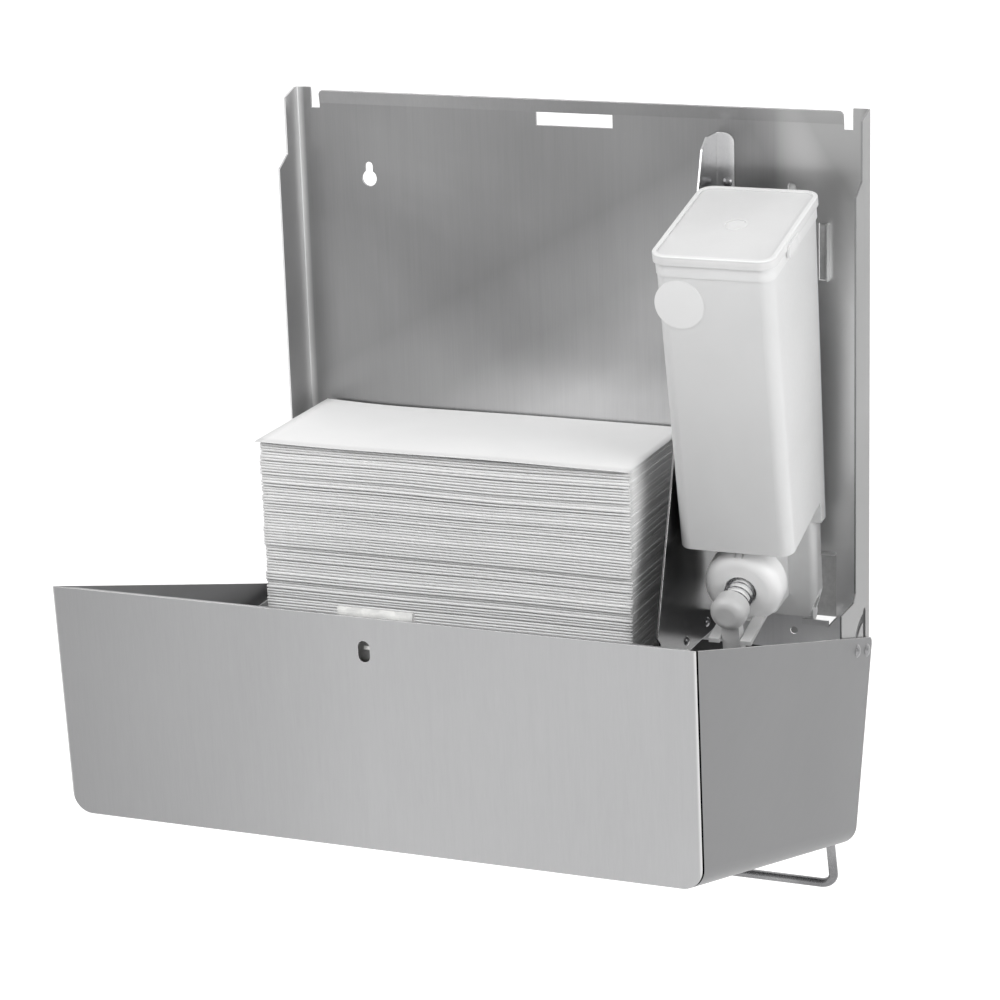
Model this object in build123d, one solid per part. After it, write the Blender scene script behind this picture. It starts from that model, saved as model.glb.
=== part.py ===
from build123d import *
import math
import os

# Wall-hung paper towel and soap dispenser, shown with its cover swung down.
# X runs to the right, Y into the wall, Z up, in millimetres.
# The origin is the centre of the back plate's rear face, which lies on the wall.
# Heights with "up" in their name are measured from the cover's pivot axis.

# Back plate
sheet_t = 1.2
bend_r = 1.0
plate_h = 352.0
pivot_from_bottom = 8.0
pivot_depth = 12.9
fold_below_top = 10.0
lip_h = 8.5
lip_lean = 10.0
lip_corner_r = 3.0
notch_from_side = 11.1
notch_w = 5.9
notch_below_top = 13.3
flange_d_top = 18.6
flange_d = 31.6
flange_chamfer_d = 14.5
flange_chamfer_h = 4.5
step_low_below_top = 49.2
step_high_below_top = 41.3
ear_d = 62.7
ear_up = 38.3
ear_top_slope = 5.0
ear_corner_r = 8.0
latch_slot_w = 51.6
latch_slot_h = 8.6
keyhole_from_side = 50.4
keyhole_below_top = 58.1
keyhole_r = 5.15
keyhole_neck_r = 2.6
keyhole_neck_h = 10.7
screw_hole_up = 4.5
screw_hole_r = 2.5

# Hinge of the cover: pivot pin in the upright slot, guide pin in the curved slot
pin_r = 2.7
pin_clear = 0.3
pin_hole_clear = 0.05
pin_spacing = 22.5
pin_head_r = 4.3
pin_head_h = 1.8
pin_collar_r = 4.6
pin_collar_t = 1.0
ear_cut_t = 4.0
slot_top_up = 28.3
swing = 73.2

# Cover
cover_side_gap = 0.8
cover_t = 1.2
cover_d = 133.7
cover_corner_r = 12.0
cover_heel_r = 5.0
cover_back_gap = 4.6
cover_below = 9.9
cover_above_plate = 3.2
cap_slope = 19.4
cap_edge_r = 1.0
hem_h = 12.0
hem_end_gap = 8.0
key_hole_w = 7.3
key_hole_l = 12.0
key_hole_from_wall_edge = 19.2

# Latch under the cap
bracket_t = 1.2
latch_bracket_w = 62.0
latch_bracket_d = 34.0
latch_bracket_wall_gap = 5.0
latch_floor_below_cap = 21.7
latch_bolt_w = 46.0
latch_bolt_t = 3.0
latch_bolt_l = 28.0
latch_bolt_rise = 0.3
latch_tip_gap = 0.3
latch_tab_w = 5.0
latch_tab_t = 2.0
latch_tab_h = 5.5
latch_spring_r = 2.4
latch_wire_r = 0.4
latch_turns = 6
spring_end_gap = 0.2

# Partition between towels and tank
partition_flange_w = 12.8
partition_flange_bottom_up = 62.0
partition_below_top = 18.0
partition_top_d = 19.0
partition_shoulder_h = 6.0
partition_shoulder_d = 28.0
partition_low_up = 34.0
partition_low_d = 123.0
partition_foot_chamfer = 5.0
rivet_r = 1.6
rivet_head_r = 3.2
rivet_head_h = 1.8
rivet_from_edge = 4.6
rivet_below_flange_top = 31.0
rivet_above_flange_bottom = 13.0

# Towel tray and the stack of folded towels
tray_top_up = 8.0
tray_side_gap = 4.8
tray_d = 117.0
tray_wall_h = 14.0
tray_front_h = 5.0
tray_opening_w = 196.0
tray_opening_d = 62.0
tray_opening_r = 14.0
tray_opening_front = 26.0
tray_rivet_ds = (30.0, 70.0)
towel_w = 252.0
towel_d = 107.0
towel_h = 128.0
towel_side_gap = 9.5
towel_hand_room = 20.3
towel_wall_gap = 2.4
towel_tray_gap = 0.3
towel_edge_r = 5.0

# Windows and tabs of the back plate that hold the tank
window_w = 17.5
window_h = 42.0
window_bottom_up = 16.0
window_from_centre = 28.7
ledge_d = 17.0
ledge_lip_h = 3.0
window_brow_d = 3.0
tab_left_from_centre = 26.5
tab_right_from_centre = 32.0
tab_cut_w = 5.5
tab_below_rim = 61.0
tab_h = 36.0
tab_d = 5.0

# Soap tank, drawn upright against the wall and then tipped forward
tank_tilt = 6.0
tank_wall_gap = 7.0
tank_side_gap = 2.75
tank_lever_room = 21.55
tank_w_top = 73.5
tank_w_low = 73.0
tank_d_top = 98.0
tank_d_low = 78.5
tank_wall_t = 2.0
tank_corner_r = 8.0
tank_front_low_up = 91.3
tank_throat_up = 103.5
tank_rim_below_top = 47.0
tank_rim_slope = 7.6
tank_rim_t = 11.0
tank_rim_out = 0.5
stem_w = 64.0
stem_d = 16.5
stem_r = 5.0
stem_floor_up = 58.0
stem_bottom_up = 24.0
stem_chamfer_w = 5.5
stem_chamfer_h = 16.0
tongue_w_top = 15.0
tongue_w_end = 9.5
tongue_t = 3.0
tongue_end_up = 15.5
well_w = 27.0
well_d = 47.0
well_bottom_up = 38.0
foot_w = 7.0
foot_r = 5.0
foot_gap = 0.3
foot_axis_d = 2.5
foot_from_centre = 22.5
neck_r = 17.5
neck_bore_r = 10.5
neck_root = 9.0
neck_l = 8.0

# Lid of the tank
lid_t = 1.8
lid_gap = 0.3
lid_skirt_t = 1.0
lid_skirt_h = 3.0
lid_rim_w = 2.8
lid_rim_h = 1.2
lid_edge_r = 0.8
lid_vent_r = 6.5
lid_vent_ring = 0.9
lid_vent_depth = 0.8
lid_tab_l = 18.0
lid_tab_h = 5.0
lid_tab_t = 1.0
lid_tab_place = 0.62
label_r = 15.5
label_t = 0.3
label_from_centre = 22.0
label_below_rim = 28.5

# Pump, on an axis that points out of the tank and slightly down
pump_up = 65.0
pump_seat_d = 53.5
pump_pitch = 9.0
nut_r = 25.0
nut_l = 17.5
nut_dome_r = 8.0
nut_bore_r = 10.2
nut_notch = 2.4
nut_notch_w = 1.2
nut_gap = 0.4
gasket_t = 1.5
gasket_inset = 1.0
cylinder_flange_r = 16.5
cylinder_flange_t = 3.0
cylinder_r = 9.6
cylinder_bore_r = 7.8
cylinder_l = 40.0
cylinder_end_t = 4.8
cylinder_inlet_r = 1.8
ball_r = 2.6
ball_gap = 0.1
piston_r = 7.4
piston_l = 34.0
seal_w = 2.2
seal_groove_depth = 1.0
seal_fit = 0.05
pump_spring_r = 9.0
pump_wire_r = 0.45
pump_turns = 4
pump_spring_l = 22.0
head_r = 11.5
head_l = 13.0
head_edge_r = 6.0
spout_w_top = 11.0
spout_w_end = 12.0
spout_t = 8.0
spout_drop = 30.0
spout_bore_r = 1.6
prong_w = 7.0
prong_t = 3.0
prong_from_centre = 10.2
prong_drop = 17.6
prong_l = 28.0

# Push lever on the inside of the cover
lever_axis_up = 130.0
lever_plate_t = 1.5
lever_gap = 6.5
lever_w = 84.0
lever_bottom_up = 6.0
lever_cut_w = 44.0
lever_cut_top_up = 47.0
lever_edge_r = 6.0
axle_r = 2.5
axle_clear = 0.1
knuckle_r = 4.6
knuckle_l = 22.0
lever_cheek_t = 1.5
lever_cheek_gap = 1.0
lever_bracket_h = 26.0
lever_spring_r = 4.2
lever_wire_r = 0.5
lever_spring_turns = 8
bow_rod_r = 3.0
bow_half_w = 39.0
bow_shift = 4.0
bow_weld_l = 34.0
bow_end_up = -35.5
bow_reach = 163.5
bow_droop = 32.6
bow_knee_r = 10.0
bow_corner_r = 9.0

# How far a cutting piece reaches past what it cuts
cut_over = 1.0

# Places worked out from the sizes above
pivot_z = pivot_from_bottom - plate_h / 2
plate_top_up = plate_h - pivot_from_bottom
towel_bay_w = tray_side_gap + towel_side_gap + towel_w + towel_hand_room
tank_bay_w = tank_side_gap + tank_w_top + tank_lever_room
plate_w = towel_bay_w + tank_bay_w + 3 * sheet_t
half_w = plate_w / 2
tray_left_x = -half_w + sheet_t + tray_side_gap
towel_left_x = tray_left_x + towel_side_gap
partition_x = -half_w + 2 * sheet_t + towel_bay_w
tank_x = partition_x + tank_side_gap + tank_w_top / 2
bow_centre_x = tank_x + bow_shift
keyhole_x = half_w - keyhole_from_side
fold_up = plate_top_up - fold_below_top
partition_top_up = plate_top_up - partition_below_top
partition_shoulder_up = partition_top_up - partition_shoulder_h
rivet_high_up = partition_top_up - rivet_below_flange_top
rivet_low_up = partition_flange_bottom_up + rivet_above_flange_bottom
partition_rivet_ups = (rivet_high_up, (rivet_high_up + rivet_low_up) / 2, rivet_low_up)
tank_rim_up = plate_top_up - tank_rim_below_top
pivot_axis = Axis((0, -pivot_depth, pivot_z), (1, 0, 0))
pin_slot_r = pin_r + pin_clear
cover_half_w = half_w + cover_side_gap + cover_t
cover_w = 2 * cover_half_w
cover_front_y = -cover_back_gap - cover_d
cap_top_up = plate_top_up + cover_above_plate
latch_floor_up = cap_top_up - latch_floor_below_cap
tank_back_y = -tank_wall_gap
foot_axis_y = tank_back_y - foot_axis_d
foot_axis_up = window_bottom_up + foot_gap + foot_r
tank_axis = Axis((0, foot_axis_y, pivot_z + foot_axis_up), (1, 0, 0))
rim_axis = Axis((0, tank_back_y, pivot_z + tank_rim_up), (1, 0, 0))
seat_y = tank_back_y - pump_seat_d
pump_axis = Axis((0, seat_y, pivot_z + pump_up), (1, 0, 0))
gasket_at = neck_l
flange_at = gasket_at + gasket_t
spring_at = flange_at + cylinder_flange_t
head_at = spring_at + pump_spring_l
head_front_y = seat_y - (head_at + head_l) * math.cos(math.radians(pump_pitch))
lever_axis_y = head_front_y - lever_gap - lever_plate_t / 2
lid_w = tank_w_top + 2 * (tank_rim_out + lid_gap + lid_skirt_t)
lid_d = tank_d_top + 2 * (tank_rim_out + lid_gap + lid_skirt_t)
tray_floor_z = pivot_z + tray_top_up


def at_up(height):
    """Z of a height measured from the pivot axis."""
    return pivot_z + height


def box(x0, x1, y0, y1, z0, z1):
    """A block between two corners."""
    middle = Pos((x0 + x1) / 2, (y0 + y1) / 2, (z0 + z1) / 2)
    return middle * Box(abs(x1 - x0), abs(y1 - y0), abs(z1 - z0))


def side_plate(points, x0, x1):
    """A plate across X, from an outline of (y, z) points."""
    face = Plane.YZ * Polygon(*points, align=None)
    return Pos((x0 + x1) / 2, 0, 0) * extrude(face, amount=abs(x1 - x0) / 2, both=True)


def rod(start, end, radius):
    """A round bar between two points."""
    a = Vector(*start)
    b = Vector(*end)
    return extrude(Plane(origin=a, z_dir=b - a) * Circle(radius), amount=(b - a).length)


def rod_y(x, z, y0, y1, radius):
    """A round bar along Y."""
    return rod((x, y0, z), (x, y1, z), radius)


def rod_x(y, z, x0, x1, radius):
    """A round bar along X."""
    return rod((x0, y, z), (x1, y, z), radius)


def mirrored(shape, x=0.0):
    """The shape's mirror image about a plane across X."""
    return shape.mirror(Plane(origin=(x, 0, 0), z_dir=(1, 0, 0)))


def rounded_block(x, width, y_back, depth, z0, z1, radius):
    """An upright block with rounded corners, hanging from a back plane."""
    outline = Pos(x, y_back - depth / 2, z0) * RectangleRounded(width, depth, radius)
    return extrude(outline, amount=z1 - z0)


def coil(centre, direction, radius, wire_r, length, turns):
    """An open spring, one unbroken tube along a helix."""
    pitch = (length - 2 * wire_r) / turns
    path = Helix(pitch=pitch, height=pitch * turns, radius=radius)
    start = path @ 0
    wire = Plane(origin=start, z_dir=path % 0) * Circle(wire_r)
    spring = sweep(wire, path=path, is_frenet=True)
    place = Plane(origin=Vector(*centre) + Vector(*direction) * wire_r, z_dir=direction)
    steps = 40 * turns
    points = [path @ (i / steps) for i in range(steps + 1)]
    gap = min((points[i] - points[i + 40]).length for i in range(steps - 39)) - 2 * wire_r
    print("coil least gap to itself", round(gap, 2))
    return place * spring


def opened(shape):
    """Swing a piece of the cover down from its closed place."""
    return shape.rotate(pivot_axis, swing)


def tipped(shape):
    """Tip a piece of the tank forward from its upright place."""
    return shape.rotate(tank_axis, tank_tilt)


# Back plate with its side flanges, ears, lip, slots, windows and tabs


def channel_section(width, depth, thickness, radius, back_y):
    """Section of a channel that opens forward, with bent corners."""
    outer = Pos(0, back_y - depth) * Rectangle(width, 2 * depth)
    outer = fillet(outer.vertices().group_by(Axis.Y)[-1], radius + thickness)
    inner = Pos(0, back_y - thickness - depth) * Rectangle(width - 2 * thickness, 2 * depth)
    inner = fillet(inner.vertices().group_by(Axis.Y)[-1], radius)
    keep = Pos(0, back_y - depth / 2) * Rectangle(width, depth)
    return (outer - inner) & keep


def flange_room():
    """What is cut away in front of the side flanges."""
    far = 2 * ear_d
    points = [
        (-far, at_up(-2 * pivot_from_bottom)),
        (-ear_d, at_up(-2 * pivot_from_bottom)),
        (-ear_d, at_up(ear_up)),
        (-flange_d - ear_top_slope, at_up(ear_up)),
        (-flange_d, at_up(ear_up + ear_top_slope)),
        (-flange_d, at_up(plate_top_up - step_low_below_top)),
        (-flange_d_top, at_up(plate_top_up - step_high_below_top)),
        (-flange_d_top, at_up(plate_top_up - flange_chamfer_h)),
        (-flange_d_top + flange_chamfer_d, at_up(plate_top_up)),
        (-flange_d_top + flange_chamfer_d, at_up(plate_top_up + flange_chamfer_h)),
        (-far, at_up(plate_top_up + flange_chamfer_h)),
    ]
    room = side_plate(points, -plate_w, plate_w)
    corner = Plane.YZ * (
        Pos(-ear_d + ear_corner_r / 2, at_up(-pivot_from_bottom) + ear_corner_r / 2)
        * Rectangle(ear_corner_r, ear_corner_r)
        - Pos(-ear_d + ear_corner_r, at_up(-pivot_from_bottom) + ear_corner_r) * Circle(ear_corner_r)
    )
    return room + extrude(corner, amount=plate_w, both=True)


def hinge_slots():
    """The upright slot and the curved slot, through both ears."""
    upright = Plane.YZ * (
        Pos(-pivot_depth, pivot_z + (slot_top_up - pin_slot_r) / 2)
        * SlotOverall(slot_top_up + pin_slot_r, 2 * pin_slot_r, rotation=90)
    )
    centre = (-pivot_depth, pivot_z)
    track = CenterArc(centre, pin_spacing, 90, swing)
    curved = Plane.YZ * SlotArc(track, 2 * pin_slot_r)
    cut = extrude(upright, amount=ear_cut_t, both=True) + extrude(curved, amount=ear_cut_t, both=True)
    return Pos(half_w, 0, 0) * cut + Pos(-half_w, 0, 0) * cut


def keyhole(x):
    """A round hole with a narrow neck above it, for a screw head."""
    centre_z = at_up(plate_top_up - keyhole_below_top)
    cut = rod_y(x, centre_z, -2 * sheet_t, sheet_t, keyhole_r)
    cut += rod_y(x, centre_z + keyhole_neck_h - keyhole_neck_r, -2 * sheet_t, sheet_t, keyhole_neck_r)
    neck_top = centre_z + keyhole_neck_h - keyhole_neck_r
    return cut + box(x - keyhole_neck_r, x + keyhole_neck_r, -2 * sheet_t, sheet_t, centre_z, neck_top)


def tank_window(x):
    """The hole of a window that a foot of the tank stands in front of."""
    bottom = at_up(window_bottom_up)
    return box(x - window_w / 2, x + window_w / 2, -2 * sheet_t, sheet_t, bottom, bottom + window_h)


def tank_ledge(x):
    """Bent ledge below a window, its front lip, and the bent brow above the window."""
    top = at_up(window_bottom_up)
    half = window_w / 2
    ledge = box(x - half, x + half, -sheet_t - ledge_d, 0, top - sheet_t, top)
    front = -sheet_t - ledge_d
    ledge += box(x - half, x + half, front, front + sheet_t, top - sheet_t, top + ledge_lip_h)
    brow_z = top + window_h
    return ledge + box(x - half, x + half, -sheet_t - window_brow_d, 0, brow_z, brow_z + sheet_t)


def tank_tab(side, from_centre):
    """Upright tab, bent forward out of its own slit."""
    x = tank_x + side * from_centre
    z0 = at_up(tank_rim_up - tab_below_rim)
    tab = box(x, x + side * sheet_t, -sheet_t - tab_d, 0, z0, z0 + tab_h)
    slit = box(x - side * tab_cut_w, x, -2 * sheet_t, sheet_t, z0, z0 + tab_h)
    return tab, slit


def top_lip():
    """Lip above the fold, leaning forward, with rounded ends."""
    width = plate_w - 2 * (notch_from_side + notch_w)
    lip = box(-width / 2, width / 2, -sheet_t, 0, 0, lip_h)
    lip = fillet(lip.edges().filter_by(Axis.Y).group_by(Axis.Z)[-1], lip_corner_r)
    return Pos(0, 0, at_up(fold_up)) * lip.rotate(Axis.X, lip_lean)


def make_back_plate():
    section = Pos(0, 0, -plate_h / 2) * channel_section(plate_w, ear_d, sheet_t, bend_r, 0)
    plate = extrude(section, amount=plate_h)
    plate -= flange_room()
    lip_half = half_w - notch_from_side - notch_w
    plate -= box(-lip_half, lip_half, -2 * sheet_t, sheet_t, at_up(fold_up), plate_h)
    for side in (-1, 1):
        inner = side * lip_half
        outer = side * (half_w - notch_from_side)
        plate -= box(inner, outer, -2 * sheet_t, sheet_t, at_up(plate_top_up - notch_below_top), plate_h)
        plate -= keyhole(side * keyhole_x)
        plate -= rod_y(side * keyhole_x, at_up(screw_hole_up), -2 * sheet_t, sheet_t, screw_hole_r)
        window_x = tank_x + side * window_from_centre
        plate -= tank_window(window_x)
        plate += tank_ledge(window_x)
    for side, from_centre in ((-1, tab_left_from_centre), (1, tab_right_from_centre)):
        tab, slit = tank_tab(side, from_centre)
        plate += tab
        plate -= slit
    slot_z = at_up(fold_up) - latch_slot_h / 2
    plate -= Pos(0, 0, slot_z) * Box(latch_slot_w, 4 * sheet_t, latch_slot_h)
    plate += top_lip()
    for up in partition_rivet_ups:
        plate -= rod_y(rivet_x(), at_up(up), -2 * sheet_t, sheet_t, rivet_r + pin_hole_clear)
    return plate - hinge_slots()


# Partition and its rivets


def rivet_x():
    return partition_x - sheet_t + partition_flange_w - rivet_from_edge


def make_partition():
    back = -sheet_t
    points = [
        (back, at_up(tray_top_up) - sheet_t),
        (back, at_up(partition_top_up)),
        (back - partition_top_d, at_up(partition_top_up)),
        (back - partition_shoulder_d, at_up(partition_shoulder_up)),
        (back - partition_low_d, at_up(partition_low_up)),
        (back - partition_low_d + partition_foot_chamfer, at_up(partition_low_up) - partition_foot_chamfer),
        (back - partition_low_d + partition_foot_chamfer, at_up(tray_top_up) - sheet_t),
    ]
    leaf = side_plate(points, partition_x - sheet_t, partition_x)
    x0 = partition_x - sheet_t
    z0 = at_up(partition_flange_bottom_up)
    flange = box(x0, x0 + partition_flange_w, back - sheet_t, back, z0, at_up(partition_top_up))
    corner = flange.edges().filter_by(Axis.Y).sort_by(lambda e: e.center().X + e.center().Z)[-1]
    flange = fillet(corner, partition_flange_w / 2)
    part = leaf + flange
    for up in partition_rivet_ups:
        part -= rod_y(rivet_x(), at_up(up), -3 * sheet_t, sheet_t, rivet_r + pin_hole_clear)
    for depth in tray_rivet_ds:
        z = tray_floor_z + tray_wall_h / 2
        part -= rod_x(-sheet_t - depth, z, x0 - cut_over, partition_x + cut_over, rivet_r + pin_hole_clear)
    return part


def dome_head(radius, height):
    """A low domed head on the XY plane, rising along Z."""
    ball_r = (radius**2 + height**2) / (2 * height)
    ball = Pos(0, 0, height - ball_r) * Sphere(ball_r)
    return ball & Pos(0, 0, height) * Box(4 * radius, 4 * radius, 2 * height)


def rivet(place, shank_l):
    """A domed rivet: its head rises from the place's plane, its shank goes below."""
    body = dome_head(rivet_head_r, rivet_head_h)
    body += Pos(0, 0, -shank_l / 2) * Cylinder(rivet_r, shank_l)
    return place * body


def make_partition_rivets():
    places = [
        Plane(origin=(rivet_x(), -2 * sheet_t, at_up(up)), z_dir=(0, -1, 0)) for up in partition_rivet_ups
    ]
    return Compound([rivet(place, 2 * sheet_t) for place in places])


def make_tray_rivets():
    z = tray_floor_z + tray_wall_h / 2
    places = [
        Plane(origin=(partition_x, -sheet_t - depth, z), z_dir=(1, 0, 0)) for depth in tray_rivet_ds
    ]
    return Compound([rivet(place, 2 * sheet_t) for place in places])


# Towel tray and towels


def make_towel_tray():
    right = partition_x - sheet_t
    back = -sheet_t
    front = back - tray_d
    floor_z = tray_floor_z
    tray = box(tray_left_x, right, front, back, floor_z - sheet_t, floor_z)
    tray += box(tray_left_x, right, back - sheet_t, back, floor_z - sheet_t, floor_z + tray_wall_h)
    tray += box(right - sheet_t, right, front, back, floor_z - sheet_t, floor_z + tray_wall_h)
    tray += box(tray_left_x, tray_left_x + sheet_t, front, back, floor_z - sheet_t, floor_z + tray_wall_h)
    tray += box(tray_left_x, right, front, front + sheet_t, floor_z - sheet_t, floor_z + tray_front_h)
    middle_x = towel_left_x + towel_w / 2
    opening = RectangleRounded(tray_opening_w, tray_opening_d, tray_opening_r)
    middle_y = front + tray_opening_front + tray_opening_d / 2
    tray -= Pos(middle_x, middle_y, floor_z - 2 * sheet_t) * extrude(opening, amount=4 * sheet_t)
    for depth in tray_rivet_ds:
        z = floor_z + tray_wall_h / 2
        tray -= rod_x(-sheet_t - depth, z, right - 2 * sheet_t, right + sheet_t, rivet_r + pin_hole_clear)
    return tray


def make_towel_stack():
    left = towel_left_x
    front = -sheet_t - towel_wall_gap - towel_d
    bottom = tray_floor_z + towel_tray_gap
    stack = box(left, left + towel_w, front, front + towel_d, bottom, bottom + towel_h)
    upper = stack.edges().filter_by(Axis.X).group_by(Axis.Z)[-1]
    return fillet(upper, towel_edge_r)


# Cover, drawn closed


def cap_up(depth):
    """Height of the cap's top surface at a depth from the cover's wall edge."""
    return cap_top_up - depth * math.tan(math.radians(cap_slope))


def cover_outline():
    """Outline of the cover seen from above, closed at the wall edge."""
    outline = Pos(0, -cover_back_gap - cover_d / 2) * Rectangle(cover_w, cover_d)
    front = outline.vertices().group_by(Axis.Y)[0]
    return fillet(front, cover_corner_r)


def above_cap(drop):
    """Everything above the cap's sloping top surface, lowered by a drop along Z."""
    slant = cover_d + cover_back_gap
    high = cap_top_up + plate_h
    points = [
        (0, at_up(cap_up(-cover_back_gap) - drop)),
        (-2 * slant, at_up(cap_up(2 * slant - cover_back_gap) - drop)),
        (-2 * slant, at_up(high)),
        (0, at_up(high)),
    ]
    return side_plate(points, -cover_w, cover_w)


def cap_drop():
    """Thickness of the cap, measured along Z."""
    return cover_t / math.cos(math.radians(cap_slope))


def make_cover_shell():
    inner = Pos(0, -cover_back_gap - cover_d / 2 + cover_t) * Rectangle(cover_w - 2 * cover_t, cover_d)
    inner = fillet(inner.vertices().group_by(Axis.Y)[0], cover_corner_r - cover_t)
    wall = Pos(0, 0, at_up(-cover_below)) * (cover_outline() - inner)
    shell = extrude(wall, amount=cover_below + cap_top_up)
    shell -= above_cap(cap_drop())
    for side in (-1, 1):
        for up in (0, pin_spacing):
            x0 = side * (cover_half_w - 2 * cover_t)
            x1 = side * (cover_half_w + cover_t)
            shell -= rod_x(-pivot_depth, at_up(up), x0, x1, pin_r + pin_hole_clear)
    heels = shell.edges().filter_by(Axis.X).group_by(Axis.Z)[0].filter_by_position(
        Axis.Y, -2 * cover_back_gap, 0
    )
    return opened(fillet(heels, cover_heel_r))


def make_cover_cap():
    block = Pos(0, 0, at_up(0)) * extrude(cover_outline(), amount=2 * cap_top_up)
    cap = block - above_cap(0)
    lower = block - above_cap(cap_drop())
    cap -= lower
    top = cap.faces().sort_by(lambda f: f.center().Z * f.area)[-1]
    rim = [e for e in top.edges() if e.center().Y < -cover_back_gap - cover_t]
    cap = fillet(rim, cap_edge_r)
    back = -cover_back_gap
    half = cover_half_w - hem_end_gap
    high = at_up(cap_up(cover_t) - cap_drop() / 2)
    cap += box(-half, half, back - cover_t, back, at_up(cap_top_up - hem_h), high)
    hole_y = back - key_hole_from_wall_edge
    hole = SlotOverall(key_hole_l, key_hole_w, rotation=90)
    cap -= Pos(0, hole_y, at_up(cap_top_up - cover_d)) * extrude(hole, amount=2 * cover_d)
    return opened(cap)


def cover_pin(up):
    """A headed pin through the cover's side and the ear's slot, on the right side."""
    outside = cover_half_w
    inside = half_w - sheet_t - pin_clear - pin_collar_t
    centre = (-pivot_depth, at_up(up))
    pin = Plane(origin=(outside, *centre), z_dir=(1, 0, 0)) * dome_head(pin_head_r, pin_head_h)
    pin += rod_x(*centre, inside, outside, pin_r)
    pin += rod_x(*centre, inside, inside + pin_collar_t, pin_collar_r)
    return pin


def make_pins(up):
    pin = opened(cover_pin(up))
    return Compound([pin, mirrored(pin)])


# Latch under the cap, drawn closed


def latch_back_y():
    return -cover_back_gap - latch_bracket_wall_gap


def latch_bolt_z():
    return at_up(latch_floor_up) + bracket_t + latch_bolt_rise


def make_latch_bracket():
    half = latch_bracket_w / 2
    back = latch_back_y()
    front = back - latch_bracket_d
    floor = at_up(latch_floor_up)
    bracket = box(-half, half, front, back, floor, floor + bracket_t)
    for side in (-1, 1):
        x0 = side * half
        bracket += box(x0, x0 - side * bracket_t, front, back, floor, at_up(cap_top_up))
    bracket += box(-half, half, front, front + bracket_t, floor, at_up(cap_top_up))
    return opened(bracket - above_cap(cap_drop()))


def latch_bolt_ends():
    tip = -latch_tip_gap
    return tip, tip - latch_bolt_l


def make_latch_bolt():
    tip, tail = latch_bolt_ends()
    half = latch_bolt_w / 2
    z0 = latch_bolt_z()
    bolt = box(-half, half, tail, tip, z0, z0 + latch_bolt_t)
    tab_y = -cover_back_gap - key_hole_from_wall_edge + key_hole_l / 4
    z1 = z0 + latch_bolt_t
    bolt += box(-latch_tab_w / 2, latch_tab_w / 2, tab_y - latch_tab_t, tab_y, z1, z1 + latch_tab_h)
    return opened(bolt)


def make_latch_spring():
    tip, tail = latch_bolt_ends()
    wall = latch_back_y() - latch_bracket_d + bracket_t
    length = tail - wall - 2 * spring_end_gap
    centre_z = at_up(latch_floor_up) + bracket_t + latch_spring_r + latch_wire_r + spring_end_gap
    start = (0, tail - spring_end_gap, centre_z)
    return opened(coil(start, (0, -1, 0), latch_spring_r, latch_wire_r, length, latch_turns))


# Push lever on the cover, drawn closed


def lever_axis_z():
    return at_up(lever_axis_up)


def make_lever_bracket():
    base_y = cover_front_y + cover_t
    half = lever_w / 2 + lever_cheek_gap + lever_cheek_t
    z = lever_axis_z()
    z0 = z - lever_bracket_h / 2
    z1 = z + lever_bracket_h / 2
    left = bow_centre_x - half
    right = bow_centre_x + half
    bracket = box(left, right, base_y, base_y + lever_cheek_t, z0, z1)
    tip_y = lever_axis_y + knuckle_r + lever_cheek_gap
    points = [
        (base_y, z0),
        (base_y, z1),
        (tip_y, z + knuckle_r),
        (tip_y, z - knuckle_r),
    ]
    bracket += side_plate(points, left, left + lever_cheek_t)
    bracket += side_plate(points, right - lever_cheek_t, right)
    bore = rod_x(lever_axis_y, z, left - cut_over, right + cut_over, axle_r + pin_hole_clear)
    return opened(bracket - bore)


def make_lever_axle():
    half = lever_w / 2 + lever_cheek_gap + lever_cheek_t
    z = lever_axis_z()
    axle = rod_x(lever_axis_y, z, bow_centre_x - half, bow_centre_x + half, axle_r)
    for side in (-1, 1):
        x = bow_centre_x + side * half
        axle += rod_x(lever_axis_y, z, x, x + side * pin_collar_t, axle_r + pin_collar_t)
    return opened(axle)


def make_lever_plate():
    z = lever_axis_z()
    y0 = lever_axis_y - lever_plate_t / 2
    y1 = lever_axis_y + lever_plate_t / 2
    left = bow_centre_x - lever_w / 2
    right = bow_centre_x + lever_w / 2
    plate = box(left, right, y0, y1, at_up(lever_bottom_up), z - axle_r)
    corners = plate.edges().filter_by(Axis.Y).group_by(Axis.Z)[0]
    plate = fillet(corners, lever_edge_r)
    plate -= box(
        bow_centre_x - lever_cut_w / 2,
        bow_centre_x + lever_cut_w / 2,
        y0 - cut_over,
        y1 + cut_over,
        at_up(lever_bottom_up) - cut_over,
        at_up(lever_cut_top_up),
    )
    plate -= rod_x(lever_axis_y, z, left + knuckle_l, right - knuckle_l, knuckle_r + lever_cheek_gap)
    for x0, x1 in ((left, left + knuckle_l), (right - knuckle_l, right)):
        plate += rod_x(lever_axis_y, z, x0, x1, knuckle_r)
    plate -= rod_x(lever_axis_y, z, left - cut_over, right + cut_over, axle_r + axle_clear)
    return opened(plate)


def make_lever_spring():
    z = lever_axis_z()
    room = lever_w - 2 * knuckle_l - 2 * spring_end_gap
    start = (bow_centre_x - room / 2, lever_axis_y, z)
    return opened(coil(start, (1, 0, 0), lever_spring_r, lever_wire_r, room / 2, lever_spring_turns))


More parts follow.
